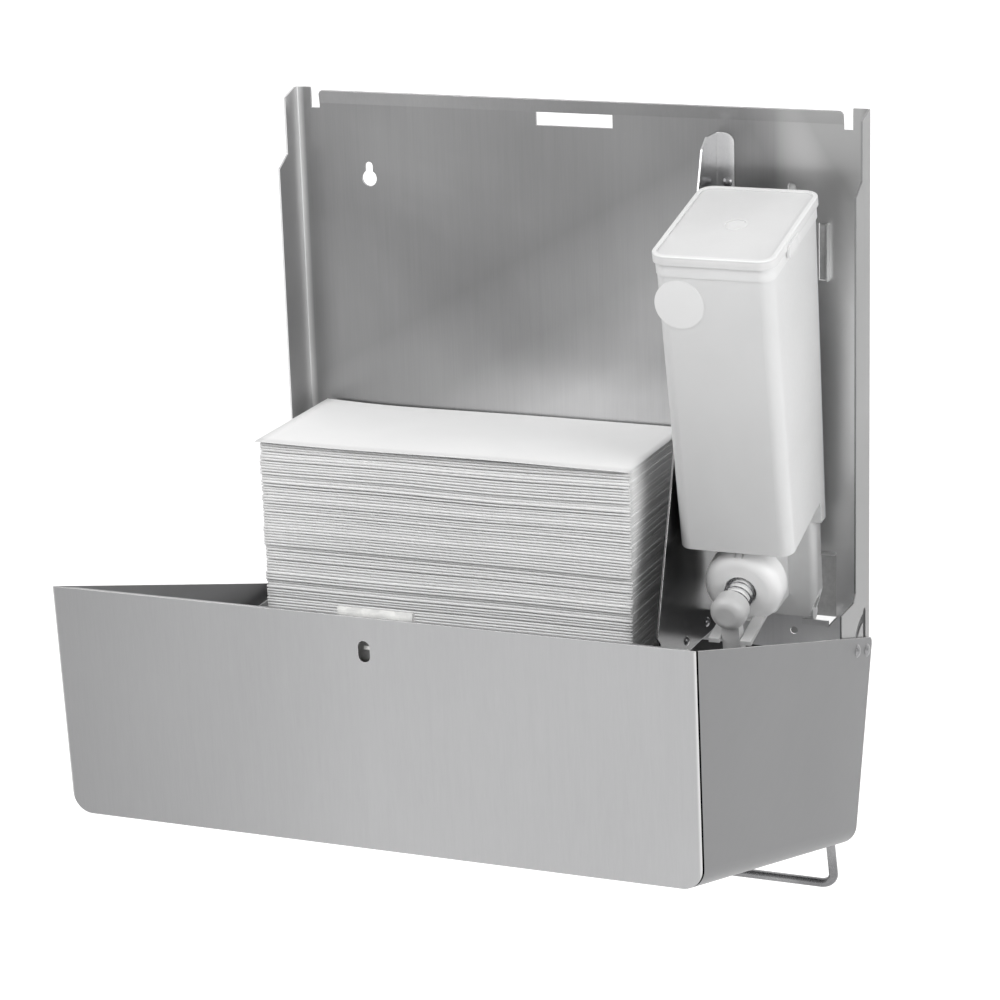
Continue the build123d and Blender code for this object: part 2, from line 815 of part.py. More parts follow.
def bow_path():
    """Centre line of the bow: up one leg, round the crossbar and down the other."""
    leg_y = lever_axis_y - lever_plate_t / 2 - bow_rod_r
    end_y = -cover_back_gap - bow_reach
    knee_up = bow_end_up + (leg_y - end_y) * math.tan(math.radians(bow_droop))
    weld_up = lever_bottom_up + bow_weld_l
    x0 = bow_centre_x - bow_half_w
    x1 = bow_centre_x + bow_half_w
    points = [
        (x0, leg_y, at_up(weld_up)),
        (x0, leg_y, at_up(knee_up)),
        (x0, end_y, at_up(bow_end_up)),
        (x1, end_y, at_up(bow_end_up)),
        (x1, leg_y, at_up(knee_up)),
        (x1, leg_y, at_up(weld_up)),
    ]
    radii = [bow_knee_r, bow_corner_r, bow_corner_r, bow_knee_r]
    return FilletPolyline(*points, radius=radii)


def make_lever_bow():
    path = bow_path()
    section = Plane(origin=path @ 0, z_dir=path % 0) * Circle(bow_rod_r)
    return opened(sweep(section, path=path))


# Soap tank, drawn upright


def tank_loft(inset, z0, z1):
    """The tank's upper body, or its hollow when inset by the wall."""
    span = tank_rim_up - tank_front_low_up

    def outline(up):
        share = (up - tank_front_low_up) / span
        width = tank_w_low + share * (tank_w_top - tank_w_low) - 2 * inset
        depth = tank_d_low + share * (tank_d_top - tank_d_low) - 2 * inset
        y = tank_back_y - inset - depth / 2
        return Pos(tank_x, y, at_up(up)) * RectangleRounded(width, depth, tank_corner_r - inset)

    return loft([outline(z0), outline(z1)], ruled=True)


def above_rim(drop):
    """Room above the tank's rim, which slopes down to the front, lowered by a drop."""
    reach = 2 * tank_d_top
    low = at_up(tank_rim_up)
    room = box(0, 2 * tank_x, tank_back_y - reach, tank_back_y + reach, low, low + reach)
    return Pos(0, 0, -drop) * sloped(room)


def sloped(shape):
    """Turn a piece drawn level at the rim's height down to the slope of the rim."""
    return shape.rotate(rim_axis, tank_rim_slope)


def under_slope(rise):
    """Room below the upper body, whose underside climbs toward the stem."""
    front = tank_back_y - tank_d_low
    back = tank_back_y - stem_d
    slope = (tank_throat_up - tank_front_low_up) / (back - front)
    points = [
        (front - stem_d, at_up(tank_front_low_up - slope * stem_d) + rise),
        (back + rise, at_up(tank_throat_up + slope * rise) + rise),
        (back + rise, at_up(0)),
        (front - stem_d, at_up(0)),
    ]
    return side_plate(points, tank_x - tank_w_top, tank_x + tank_w_top)


def tank_stem(inset, z0, z1):
    """The flat stem behind the pump, from its lower to its upper end."""
    radius = stem_r - inset
    y = tank_back_y - inset
    return rounded_block(tank_x, stem_w - 2 * inset, y, stem_d - 2 * inset, at_up(z0), at_up(z1), radius)


def stem_corners():
    """The two slanting cuts at the stem's lower corners."""
    half = stem_w / 2
    low = at_up(stem_bottom_up)
    cut = Plane.XZ * Polygon(
        (half - stem_chamfer_w, low),
        (half, low + stem_chamfer_h),
        (half + stem_chamfer_w, low + stem_chamfer_h),
        (half + stem_chamfer_w, low - stem_chamfer_w),
        (half - stem_chamfer_w, low - stem_chamfer_w),
        align=None,
    )
    right = Pos(tank_x, 0, 0) * extrude(cut, amount=2 * tank_d_top, both=True)
    return right + mirrored(right, tank_x)


def tank_foot(x):
    """A foot below the tank with a round heel, which rolls on the ledge."""
    heel = rod_x(foot_axis_y, at_up(foot_axis_up), x - foot_w / 2, x + foot_w / 2, foot_r)
    front = foot_axis_y - foot_r
    top = at_up(stem_floor_up - tank_wall_t)
    neck = box(x - foot_w / 2, x + foot_w / 2, front, tank_back_y, at_up(foot_axis_up), top)
    return heel + neck


def tank_tongue():
    """Tapered tongue in the middle of the stem's lower edge."""
    top = at_up(stem_bottom_up + stem_chamfer_w)
    end = at_up(tongue_end_up)
    outline = Plane(origin=(tank_x, tank_back_y, 0), x_dir=(1, 0, 0), z_dir=(0, -1, 0)) * Polygon(
        (-tongue_w_top / 2, top),
        (tongue_w_top / 2, top),
        (tongue_w_end / 2, end),
        (-tongue_w_end / 2, end),
        align=None,
    )
    return extrude(outline, amount=tongue_t)


def tank_band():
    """The thickened band round the mouth, drawn level and then sloped like the rim."""
    width = tank_w_top + 2 * tank_rim_out
    depth = tank_d_top + 2 * tank_rim_out
    top = at_up(tank_rim_up)
    radius = tank_corner_r + tank_rim_out
    back = tank_back_y + tank_rim_out
    return sloped(rounded_block(tank_x, width, back, depth, top - tank_rim_t, top, radius))


def make_soap_tank():
    upper = tank_loft(0, tank_front_low_up - tank_wall_t, tank_rim_up) - under_slope(0)
    stem = tank_stem(0, stem_bottom_up, tank_throat_up + stem_r) - stem_corners()
    hollow_below = tank_stem(tank_wall_t, stem_bottom_up - cut_over, stem_floor_up - tank_wall_t)
    well_y = tank_back_y - tank_wall_t
    well_top = at_up(tank_throat_up)
    well_low = at_up(well_bottom_up)
    well = rounded_block(tank_x, well_w, well_y, well_d - tank_wall_t, well_low, well_top, stem_r)
    tank = upper + (stem - hollow_below) + well
    tank += tank_band()
    tank -= above_rim(0)
    neck = pitched(pump_rod(-neck_root, neck_l, neck_r))
    bore = pitched(pump_rod(-2 * neck_root, neck_l + cut_over, neck_bore_r))
    tank += neck
    for side in (-1, 1):
        tank += tank_foot(tank_x + side * foot_from_centre)
    tank += tank_tongue()
    low = tank_front_low_up - tank_wall_t
    tank -= tank_loft(tank_wall_t, low, tank_rim_up + cut_over) - under_slope(tank_wall_t)
    tank -= tank_stem(tank_wall_t, stem_floor_up, tank_throat_up + stem_r)
    inner_y = tank_back_y - stem_d
    inner_d = well_d - stem_d - tank_wall_t
    inner_w = well_w - 2 * tank_wall_t
    inner_z = well_low + tank_wall_t
    tank -= rounded_block(tank_x, inner_w, inner_y, inner_d, inner_z, well_top, stem_r - tank_wall_t)
    half = inner_w / 2
    gate_z = at_up(stem_floor_up)
    tank -= box(tank_x - half, tank_x + half, inner_y - stem_r, inner_y + stem_r, gate_z, well_top)
    tank -= bore
    return tipped(tank)


def make_tank_lid():
    top_z = at_up(tank_rim_up)
    back = tank_back_y + (lid_d - tank_d_top) / 2
    radius = tank_corner_r + tank_rim_out + lid_gap + lid_skirt_t
    lid = rounded_block(tank_x, lid_w, back, lid_d, top_z - lid_skirt_h, top_z + lid_t + lid_rim_h, radius)
    lid = fillet(lid.faces().sort_by(Axis.Z)[-1].edges(), lid_edge_r)
    lid -= rounded_block(
        tank_x,
        lid_w - 2 * lid_skirt_t,
        back - lid_skirt_t,
        lid_d - 2 * lid_skirt_t,
        top_z - lid_skirt_h - cut_over,
        top_z,
        radius - lid_skirt_t,
    )
    lid -= rounded_block(
        tank_x,
        lid_w - 2 * lid_rim_w,
        back - lid_rim_w,
        lid_d - 2 * lid_rim_w,
        top_z + lid_t,
        top_z + 2 * lid_t + lid_rim_h,
        radius - lid_rim_w,
    )
    vent = Pos(tank_x, back - lid_d / 2, top_z + lid_t)
    lid += vent * extrude(Circle(lid_vent_r + lid_vent_ring), amount=lid_vent_depth / 2)
    lid -= vent * extrude(Circle(lid_vent_r), amount=lid_vent_depth / 2, both=True)
    tab_y = back - lid_tab_place * lid_d
    for side in (-1, 1):
        x0 = tank_x + side * (lid_w / 2 - lid_skirt_t)
        lid += box(
            x0,
            x0 + side * (lid_skirt_t + lid_tab_t),
            tab_y - lid_tab_l / 2,
            tab_y + lid_tab_l / 2,
            top_z - lid_skirt_h - lid_tab_h,
            top_z,
        )
    return tipped(sloped(lid))


def front_lean():
    """Angle of the tank's front face to the upright, in degrees."""
    return math.degrees(math.atan((tank_d_top - tank_d_low) / (tank_rim_up - tank_front_low_up)))


def make_tank_label():
    below = label_below_rim + tank_d_top * math.tan(math.radians(tank_rim_slope))
    share = below / (tank_rim_up - tank_front_low_up)
    y = tank_back_y - tank_d_top + share * (tank_d_top - tank_d_low)
    z = at_up(tank_rim_up - below)
    lean = math.radians(front_lean())
    place = Plane(
        origin=(tank_x - label_from_centre, y, z),
        x_dir=(1, 0, 0),
        z_dir=(0, -math.cos(lean), -math.sin(lean)),
    )
    return tipped(place * extrude(Circle(label_r), amount=label_t))


# Pump, drawn straight out of the tank, then pitched down and tipped with the tank


def pump_plane(distance):
    """A plane across the pump's axis, a distance in front of its seat."""
    return Plane(origin=(tank_x, seat_y - distance, at_up(pump_up)), x_dir=(1, 0, 0), z_dir=(0, -1, 0))


def pump_rod(start, end, radius):
    """A round bar on the pump's axis, between two distances from its seat."""
    return pump_plane(start) * extrude(Circle(radius), amount=end - start)


def pump_ring(start, end, outer_r, inner_r):
    return pump_plane(start) * extrude(Circle(outer_r) - Circle(inner_r), amount=end - start)


def pitched(shape):
    """Turn a piece of the pump down to its own axis."""
    return shape.rotate(pump_axis, pump_pitch)


def placed(shape):
    return tipped(pitched(shape))


def front_edge(shape):
    return shape.edges().sort_by(Axis.Y)[0]


def make_pump_nut():
    body = pump_rod(nut_gap, nut_l, nut_r)
    body = fillet(front_edge(body), nut_dome_r)
    body -= pump_rod(0, spring_at + nut_gap, neck_r + nut_gap)
    body -= pump_rod(0, nut_l + cut_over, nut_bore_r)
    top = at_up(pump_up) + nut_r
    front = seat_y - nut_l
    for side in (-1, 1):
        x = tank_x + side * nut_notch
        x0 = x - nut_notch_w / 2
        y1 = front + nut_dome_r
        body -= box(x0, x0 + nut_notch_w, front, y1, top - nut_notch, top + cut_over)
    return placed(body)


def make_pump_gasket():
    return placed(pump_ring(gasket_at, flange_at, neck_r - gasket_inset, neck_bore_r))


def make_pump_cylinder():
    end = flange_at - cylinder_l
    body = pump_rod(flange_at, spring_at, cylinder_flange_r) + pump_rod(end, flange_at, cylinder_r)
    body -= pump_rod(end + cylinder_end_t, spring_at + cut_over, cylinder_bore_r)
    body -= pump_rod(end - cut_over, spring_at, cylinder_inlet_r)
    return placed(body)


def make_check_ball():
    distance = flange_at - cylinder_l + cylinder_end_t + ball_r + ball_gap
    return placed(Pos(tank_x, seat_y - distance, at_up(pump_up)) * Sphere(ball_r))


def seal_start():
    return head_at - piston_l + seal_w


def make_pump_piston():
    body = pump_rod(head_at - piston_l, head_at, piston_r)
    body -= pump_ring(seal_start(), seal_start() + seal_w, piston_r + cut_over, piston_r - seal_groove_depth)
    body -= pump_rod(head_at - piston_l - cut_over, head_at, spout_bore_r)
    return placed(body)


def make_piston_seal():
    start = seal_start() + seal_fit
    end = seal_start() + seal_w - seal_fit
    inner = piston_r - seal_groove_depth + seal_fit
    return placed(pump_ring(start, end, cylinder_bore_r - seal_fit, inner))


def make_pump_head():
    """Head of the piston with its downward spout."""
    head = pump_rod(head_at, head_at + head_l, head_r)
    head = fillet(front_edge(head), head_edge_r)
    middle = head_at + spout_t / 2
    z = at_up(pump_up)
    half_top = spout_w_top / 2
    half_end = spout_w_end / 2
    outline = pump_plane(middle) * Polygon(
        (-half_top, 0), (half_top, 0), (half_end, -spout_drop), (-half_end, -spout_drop), align=None
    )
    head += extrude(outline, amount=spout_t / 2, both=True)
    y = seat_y - middle
    head -= rod((tank_x, y, z), (tank_x, y, z - spout_drop - cut_over), spout_bore_r)
    head -= pump_rod(head_at - cut_over, middle, spout_bore_r)
    return placed(head)


def make_nozzle_guide():
    """Two prongs on the nut's face that run forward beside the spout."""
    top = at_up(pump_up) - prong_drop
    back = seat_y - nut_l / 2
    front = seat_y - nut_l - prong_l
    prongs = []
    for side in (-1, 1):
        x = tank_x + side * prong_from_centre
        prongs.append(box(x - prong_w / 2, x + prong_w / 2, front, back, top - prong_t, top))
    return placed(Compound(prongs)) - make_pump_nut()


def make_pump_spring():
    start = (tank_x, seat_y - spring_at - spring_end_gap, at_up(pump_up))
    length = pump_spring_l - 2 * spring_end_gap
    return placed(coil(start, (0, -1, 0), pump_spring_r, pump_wire_r, length, pump_turns))


nodes = {
    "back_plate": make_back_plate(),
    "partition": make_partition(),
    "partition_rivets": make_partition_rivets(),
    "towel_tray": make_towel_tray(),
    "tray_rivets": make_tray_rivets(),
    "towel_stack": make_towel_stack(),
    "cover_shell": make_cover_shell(),
    "cover_cap": make_cover_cap(),
    "pivot_pins": make_pins(0),
    "guide_pins": make_pins(pin_spacing),
    "latch_bracket": make_latch_bracket(),
    "latch_bolt": make_latch_bolt(),
    "latch_spring": make_latch_spring(),
    "lever_bracket": make_lever_bracket(),
    "lever_axle": make_lever_axle(),
    "lever_plate": make_lever_plate(),
    "lever_spring": make_lever_spring(),
    "lever_bow": make_lever_bow(),
    "soap_tank": make_soap_tank(),
    "tank_lid": make_tank_lid(),
    "tank_label": make_tank_label(),
    "pump_nut": make_pump_nut(),
    "pump_gasket": make_pump_gasket(),
    "pump_cylinder": make_pump_cylinder(),
    "check_ball": make_check_ball(),
    "pump_piston": make_pump_piston(),
    "piston_seal": make_piston_seal(),
    "pump_head": make_pump_head(),
    "nozzle_guide": make_nozzle_guide(),
    "pump_spring": make_pump_spring(),
}

os.makedirs("parts", exist_ok=True)
for name, shape in nodes.items():
    export_step(shape, f"parts/{name}.step")
    print(name, round(shape.volume))
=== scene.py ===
# %% [markdown]
# # A wall dispenser for paper towels and soap
# The real object is a folded steel cabinet. Its cover has been swung down, so the towels on their
# tray and the tank of soap beside them can be seen. The solids come from a drawing program and are
# already the right size and in the right place. This lesson gives them their finishes, replaces the
# plain block of towels with folded paper, and sets up the light and the camera.

# %% Load the solids
import math
import random

import bmesh
import bpy
from mathutils import Matrix, Vector
from mathutils import noise as hills


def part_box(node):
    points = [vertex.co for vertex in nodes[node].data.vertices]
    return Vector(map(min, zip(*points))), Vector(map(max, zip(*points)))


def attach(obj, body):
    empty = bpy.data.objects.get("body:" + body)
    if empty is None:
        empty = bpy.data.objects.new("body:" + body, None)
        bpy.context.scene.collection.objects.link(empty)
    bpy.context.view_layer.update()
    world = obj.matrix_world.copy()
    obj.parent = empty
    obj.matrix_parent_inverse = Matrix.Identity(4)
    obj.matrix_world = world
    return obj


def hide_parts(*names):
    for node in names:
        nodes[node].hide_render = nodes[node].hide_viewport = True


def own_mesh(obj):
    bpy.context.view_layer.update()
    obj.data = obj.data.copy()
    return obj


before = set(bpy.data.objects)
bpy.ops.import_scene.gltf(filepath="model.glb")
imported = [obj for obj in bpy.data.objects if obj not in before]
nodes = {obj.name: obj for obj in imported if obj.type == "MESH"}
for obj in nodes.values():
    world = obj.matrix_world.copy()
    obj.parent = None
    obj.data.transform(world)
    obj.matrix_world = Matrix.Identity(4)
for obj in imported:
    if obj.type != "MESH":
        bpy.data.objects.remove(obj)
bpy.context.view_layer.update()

# %% [markdown]
# ## Node groups
# Grain, clouding and fine speckle appear in many finishes. A shader node group is drawn once and
# placed in each material with its own values, so a change to the grain reaches every steel sheet.
# Each group gives out only masks and heights. The shader itself stays in the material, where the
# values that are the same all over the surface are set on its own sockets.

# %% A helper that starts a group
def start_group(name, inputs, outputs):
    """An empty group with its sockets, and the nodes where it starts and ends."""
    group = bpy.data.node_groups.new(name, "ShaderNodeTree")
    for label, kind, value in inputs:
        socket = group.interface.new_socket(label, in_out="INPUT", socket_type=kind)
        if value is not None:
            socket.default_value = value
    for label, kind in outputs:
        group.interface.new_socket(label, in_out="OUTPUT", socket_type=kind)
    return group, group.nodes.new("NodeGroupInput"), group.nodes.new("NodeGroupOutput")


# %% [markdown]
# Two more helpers keep the cells short: one places a node and sets it, the other draws a link.

# %% Helpers that place and link nodes
def add(tree, kind, **settings):
    """A new node, with its settings and the values of its sockets."""
    node = tree.nodes.new(kind)
    for key, value in settings.items():
        if hasattr(node, key):
            setattr(node, key, value)
        else:
            node.inputs[key.replace("_", " ")].default_value = value
    return node


def join(tree, source, target):
    """A link from one socket to another."""
    tree.links.new(source, target)


print("helpers:", start_group.__name__, add.__name__, join.__name__)


# %% [markdown]
# ## Brushed grain
# A belt sander leaves long scratches on a steel sheet. A photograph could be laid over the sheet,
# but it would blur close up, so the scratches are noise that is stretched along the belt's way.
# Two noises are mixed: a fine one for single scratches, and a broad one for bundles of them.

# %% The grain group
def make_grain():
    group, start, end = start_group(
        "brushed grain",
        [
            ("Vector", "NodeSocketVector", None),
            ("Fine", "NodeSocketFloat", 900.0),
            ("Broad", "NodeSocketFloat", 160.0),
        ],
        [("Mask", "NodeSocketFloat"), ("Height", "NodeSocketFloat")],
    )
    fine = add(group, "ShaderNodeTexNoise", Detail=3.0, Roughness=0.7)
    broad = add(group, "ShaderNodeTexNoise", Detail=2.0, Roughness=0.5)
    join(group, start.outputs["Vector"], fine.inputs["Vector"])
    join(group, start.outputs["Vector"], broad.inputs["Vector"])
    join(group, start.outputs["Fine"], fine.inputs["Scale"])
    join(group, start.outputs["Broad"], broad.inputs["Scale"])
    both = add(group, "ShaderNodeMix", data_type="FLOAT")
    both.inputs[0].default_value = 0.35
    join(group, fine.outputs["Fac"], both.inputs[2])
    join(group, broad.outputs["Fac"], both.inputs[3])
    sharp = add(group, "ShaderNodeMapRange", From_Min=0.3, From_Max=0.7)
    join(group, both.outputs[0], sharp.inputs["Value"])
    join(group, sharp.outputs["Result"], end.inputs["Mask"])
    join(group, both.outputs[0], end.inputs["Height"])
    return group


grain = make_grain()
print("group:", grain.name)

# %% [markdown]
# ## Clouding
# Handling and polishing leave soft lighter and darker patches on steel and plastic. A low noise
# with little contrast does this, bent a little by its own distortion so that no patch looks
# round.

# %% The clouding group
def make_clouds():
    group, start, end = start_group(
        "clouding",
        [
            ("Vector", "NodeSocketVector", None),
            ("Size", "NodeSocketFloat", 6.0),
            ("Low", "NodeSocketFloat", 0.35),
            ("High", "NodeSocketFloat", 0.65),
        ],
        [("Mask", "NodeSocketFloat")],
    )
    soft = add(group, "ShaderNodeTexNoise", Detail=4.0, Roughness=0.45, Distortion=0.4)
    join(group, start.outputs["Vector"], soft.inputs["Vector"])
    join(group, start.outputs["Size"], soft.inputs["Scale"])
    spread = add(group, "ShaderNodeMapRange", interpolation_type="SMOOTHSTEP")
    join(group, soft.outputs["Fac"], spread.inputs["Value"])
    join(group, start.outputs["Low"], spread.inputs["From Min"])
    join(group, start.outputs["High"], spread.inputs["From Max"])
    join(group, spread.outputs["Result"], end.inputs["Mask"])
    return group


clouds = make_clouds()
print("group:", clouds.name)

# %% [markdown]
# ## Speckle
# Moulded plastic, paper and rubber all have a fine uneven skin. Its height feeds a Bump node, and
# its mask shifts the colour and the gloss a little.

# %% The speckle group
def make_speckle():
    group, start, end = start_group(
        "speckle",
        [("Vector", "NodeSocketVector", None), ("Size", "NodeSocketFloat", 800.0)],
        [("Mask", "NodeSocketFloat"), ("Height", "NodeSocketFloat")],
    )
    grit = add(group, "ShaderNodeTexNoise", Detail=4.0, Roughness=0.6)
    join(group, start.outputs["Vector"], grit.inputs["Vector"])
    join(group, start.outputs["Size"], grit.inputs["Scale"])
    clear = add(group, "ShaderNodeMapRange", From_Min=0.35, From_Max=0.65)
    join(group, grit.outputs["Fac"], clear.inputs["Value"])
    join(group, clear.outputs["Result"], end.inputs["Mask"])
    join(group, grit.outputs["Fac"], end.inputs["Height"])
    return group


speckle = make_speckle()
print("group:", speckle.name)

# %% [markdown]
# ## Cut edges
# A sheared edge of sheet steel is never perfectly sharp: it is broken and rubbed bright, and it
# catches the light as a thin line. Bevelling every mesh would change the solids, so the edge is
# found in the shader. A Bevel node gives the normal of a slightly rounded edge. Where it turns away
# from the true normal there is an edge, and the group gives out that mask and the rounded normal.
# The steels lay a lighter colour on that mask: partly the rubbed wear, partly a painted highlight.

# %% The edge group
def make_edges():
    group, start, end = start_group(
        "broken edge",
        [("Width", "NodeSocketFloat", 0.0006)],
        [("Mask", "NodeSocketFloat"), ("Normal", "NodeSocketVector")],
    )
    rounded = add(group, "ShaderNodeBevel", samples=4)
    join(group, start.outputs["Width"], rounded.inputs["Radius"])
    surface = add(group, "ShaderNodeNewGeometry")
    agree = add(group, "ShaderNodeVectorMath", operation="DOT_PRODUCT")
    join(group, rounded.outputs["Normal"], agree.inputs[0])
    join(group, surface.outputs["Normal"], agree.inputs[1])
    turned = add(group, "ShaderNodeMapRange", From_Min=0.995, From_Max=0.8)
    join(group, agree.outputs["Value"], turned.inputs["Value"])
    join(group, turned.outputs["Result"], end.inputs["Mask"])
    join(group, rounded.outputs["Normal"], end.inputs["Normal"])
    return group


broken_edge = make_edges()
print("group:", broken_edge.name)

# %% [markdown]
# ## Materials
# Every material starts from a Principled shader. Its plain values go on its own sockets; only what
# changes over the surface comes through nodes. Places are read from object coordinates, which here
# are metres on the real object, so a grain of a given size is that size on every piece.

# %% Helpers for materials
def start_material(name, **plain):
    """A material, its tree, its shader with plain values set, and the node that gives places."""
    material = bpy.data.materials.new(name)
    material.use_nodes = True
    tree = material.node_tree
    shader = tree.nodes["Principled BSDF"]
    for key, value in plain.items():
        shader.inputs[key.replace("_", " ")].default_value = value
    place = tree.nodes.new("ShaderNodeTexCoord")
    return material, tree, shader, place


def use_group(tree, group, vector, **values):
    """A group placed in a material, with its own values."""
    node = tree.nodes.new("ShaderNodeGroup")
    node.node_tree = group
    join(tree, vector, node.inputs["Vector"])
    for key, value in values.items():
        node.inputs[key].default_value = value
    return node


print("materials start from a Principled shader and object coordinates")

# %% [markdown]
# A mask runs from 0 to 1. These helpers turn it into a value, a colour or a relief.

# %% Values, colours and relief from a mask
def between(tree, mask, low, high):
    """A value that follows a mask from low to high."""
    node = add(tree, "ShaderNodeMapRange", To_Min=low, To_Max=high)
    join(tree, mask, node.inputs["Value"])
    return node.outputs["Result"]


def blend_colours(tree, mask, low, high):
    """A colour that follows a mask from low to high."""
    node = add(tree, "ShaderNodeMix", data_type="RGBA")
    node.inputs[6].default_value = (*low, 1.0)
    node.inputs[7].default_value = (*high, 1.0)
    join(tree, mask, node.inputs[0])
    return node.outputs[2]


def bump(tree, height, shader, distance, under=None):
    """Small relief from a height; under is the normal that it starts from."""
    node = add(tree, "ShaderNodeBump", Distance=distance)
    join(tree, height, node.inputs["Height"])
    if under is not None:
        join(tree, under, node.inputs["Normal"])
    join(tree, node.outputs["Normal"], shader.inputs["Normal"])


def lay_over(tree, mask, colour, cover):
    """The colour given, turned to another where the mask is strong."""
    node = add(tree, "ShaderNodeMix", data_type="RGBA")
    node.inputs[7].default_value = (*cover, 1.0)
    join(tree, mask, node.inputs[0])
    join(tree, colour, node.inputs[6])
    return node.outputs[2]


print("helpers:", between.__name__, blend_colours.__name__, lay_over.__name__, bump.__name__)

# %% [markdown]
# Some colours change from one end of a piece to the other; most of these tones are painted light
# and shade. How far a point lies along a direction is a dot product of its place with that
# direction, and a colour ramp turns that into grey tones.

# %% Tones along a direction
def along(tree, place, way, first, last):
    """How far a point lies along a direction: 0 at the first distance, 1 at the last."""
    reach = add(tree, "ShaderNodeVectorMath", operation="DOT_PRODUCT")
    reach.inputs[1].default_value = way
    join(tree, place.outputs["Object"], reach.inputs[0])
    share = add(tree, "ShaderNodeMapRange", From_Min=first, From_Max=last)
    join(tree, reach.outputs["Value"], share.inputs["Value"])
    return share.outputs["Result"]


def tone_steps(tree, share, stops):
    """Grey tones at given shares of a way, blended in between."""
    ramp = tree.nodes.new("ShaderNodeValToRGB")
    elements = ramp.color_ramp.elements
    elements[0].position, elements[1].position = stops[0][0], stops[-1][0]
    for at, _ in stops[1:-1]:
        elements.new(at)
    for element, (_, tone) in zip(elements, stops):
        element.color = (tone, tone, tone, 1.0)
    join(tree, share, ramp.inputs["Fac"])
    return ramp.outputs["Color"]


def shade(tree, colour, tones):
    """The colour given, times the tones."""
    node = add(tree, "ShaderNodeMix", data_type="RGBA", blend_type="MULTIPLY")
    node.inputs[0].default_value = 1.0
    join(tree, colour, node.inputs[6])
    join(tree, tones, node.inputs[7])
    return node.outputs[2]


def shade_along(tree, place, colour, zones):
    """The colour given, times grey tones that change along each zone's direction."""
    for way, first, last, stops in zones:
        colour = shade(tree, colour, tone_steps(tree, along(tree, place, way, first, last), stops))
    return colour


print("helpers:", along.__name__, tone_steps.__name__, shade.__name__, shade_along.__name__)

# %% [markdown]
# ## Steel sheet
# The plate, tray and cover are the same brushed stainless steel, but the belt ran another way on
# each blank. A Mapping node turns and stretches the coordinates: along the belt's way they are
# squeezed, so the noise becomes long there. The cover was brushed before it was bent, so its
# scratches follow its own leaning edges. A sheet also looks lighter or darker from place to place,
# because it mirrors what stands before it and the light on it differs. Painted tones along a
# direction stand in for that reflection, light and shade: each entry of zones gives a direction,
# where it starts and ends, and the tones between.

# %% Brushed steel
# A lighter colour for broken edges: partly rubbed wear, partly a painted highlight.
worn_edge_highlight = (0.62, 0.62, 0.62)
drawn_out = 0.02


def make_steel(
    name, dark, light, rough, turn=0.0, long_axis=2, cloud_size=5.0, depth=0.000006,
    grain_share=0.4, zones=(), strips=(),
):
    material, tree, shader, place = start_material(name, Metallic=1.0)
    way = tree.nodes.new("ShaderNodeMapping")
    way.inputs["Rotation"].default_value = (turn, 0.0, 0.0)
    stretch = [1.0, 1.0, 1.0]
    stretch[long_axis] = drawn_out
    squeeze = tree.nodes.new("ShaderNodeMapping")
    squeeze.inputs["Scale"].default_value = stretch
    join(tree, place.outputs["Object"], way.inputs["Vector"])
    join(tree, way.outputs["Vector"], squeeze.inputs["Vector"])
    scratches = use_group(tree, grain, squeeze.outputs["Vector"], Fine=1400.0, Broad=300.0)
    patches = use_group(tree, clouds, place.outputs["Object"], Size=cloud_size, Low=0.3, High=0.7)
    tone = tree.nodes.new("ShaderNodeMix")
    tone.inputs[0].default_value = grain_share
    join(tree, patches.outputs["Mask"], tone.inputs[2])
    join(tree, scratches.outputs["Mask"], tone.inputs[3])
    edge = tree.nodes.new("ShaderNodeGroup")
    edge.node_tree = broken_edge
    colour = blend_colours(tree, tone.outputs[0], dark, light)
    # Painted light and shade along each zone's direction.
    colour = shade_along(tree, place, colour, zones)
    # Broken edges take the lighter colour: rubbed wear and a painted highlight.
    colour = lay_over(tree, edge.outputs["Mask"], colour, worn_edge_highlight)
    # Each strip lays a colour over a band: painted light, painted shade, a painted highlight, the
    # black of a gap's shade, or an even grey.
    for way, first, last, stops, cover in strips:
        share = along(tree, place, way, first, last)
        colour = lay_over(tree, tone_steps(tree, share, stops), colour, cover)
        if not any(cover):
            # A black strip is the painted shade of a gap: it gives nothing back, not even seen at a
            # flat angle.
            rest = [(at, 1.0 - tone) for at, tone in stops]
            join(tree, tone_steps(tree, share, rest), shader.inputs["Specular Tint"])
    join(tree, colour, shader.inputs["Base Color"])
    join(tree, between(tree, tone.outputs[0], *rough), shader.inputs["Roughness"])
    bump(tree, scratches.outputs["Height"], shader, depth, edge.outputs["Normal"])
    return material


print("steel is drawn out", round(1 / drawn_out), "times along the belt")

# %% [markdown]
# The plate stands upright behind the towels and mirrors the room. Its upper left is painted darker
# and its lower right lighter, as painted reflection and shade, and the way between them slants. The
# bay on the right is painted an even lighter tone, as painted light where the tank's shade falls,
# with a corner above it painted darker as shade. The two flanges look another way, so they get
# painted light and shade of their own too. The rear face gets one even grey over all of these.

# %% Steel of the plate
across, inward, upward = (1.0, 0.0, 0.0), (0.0, 1.0, 0.0), (0.0, 0.0, 1.0)
slanting, to_corner = (0.5, 0.0, -0.85), (0.85, 0.0, 0.5)
sheet_thickness = 0.0012
plate_low, plate_high = (Vector(corner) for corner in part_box("back_plate"))
# Painted reflection and shade: darker upper left, lighter lower right.
painted_slant_shade = [
    (0.0, 0.38), (0.18, 0.36), (0.3, 0.33), (0.42, 0.52), (0.53, 0.84), (0.75, 1.0), (1.0, 1.0),
]
# Painted light over the right bay, where the tank's shade falls.
right_bay_painted_light = [(0.0, 0.0), (0.84, 0.0), (0.91, 1.0), (1.0, 1.0)]
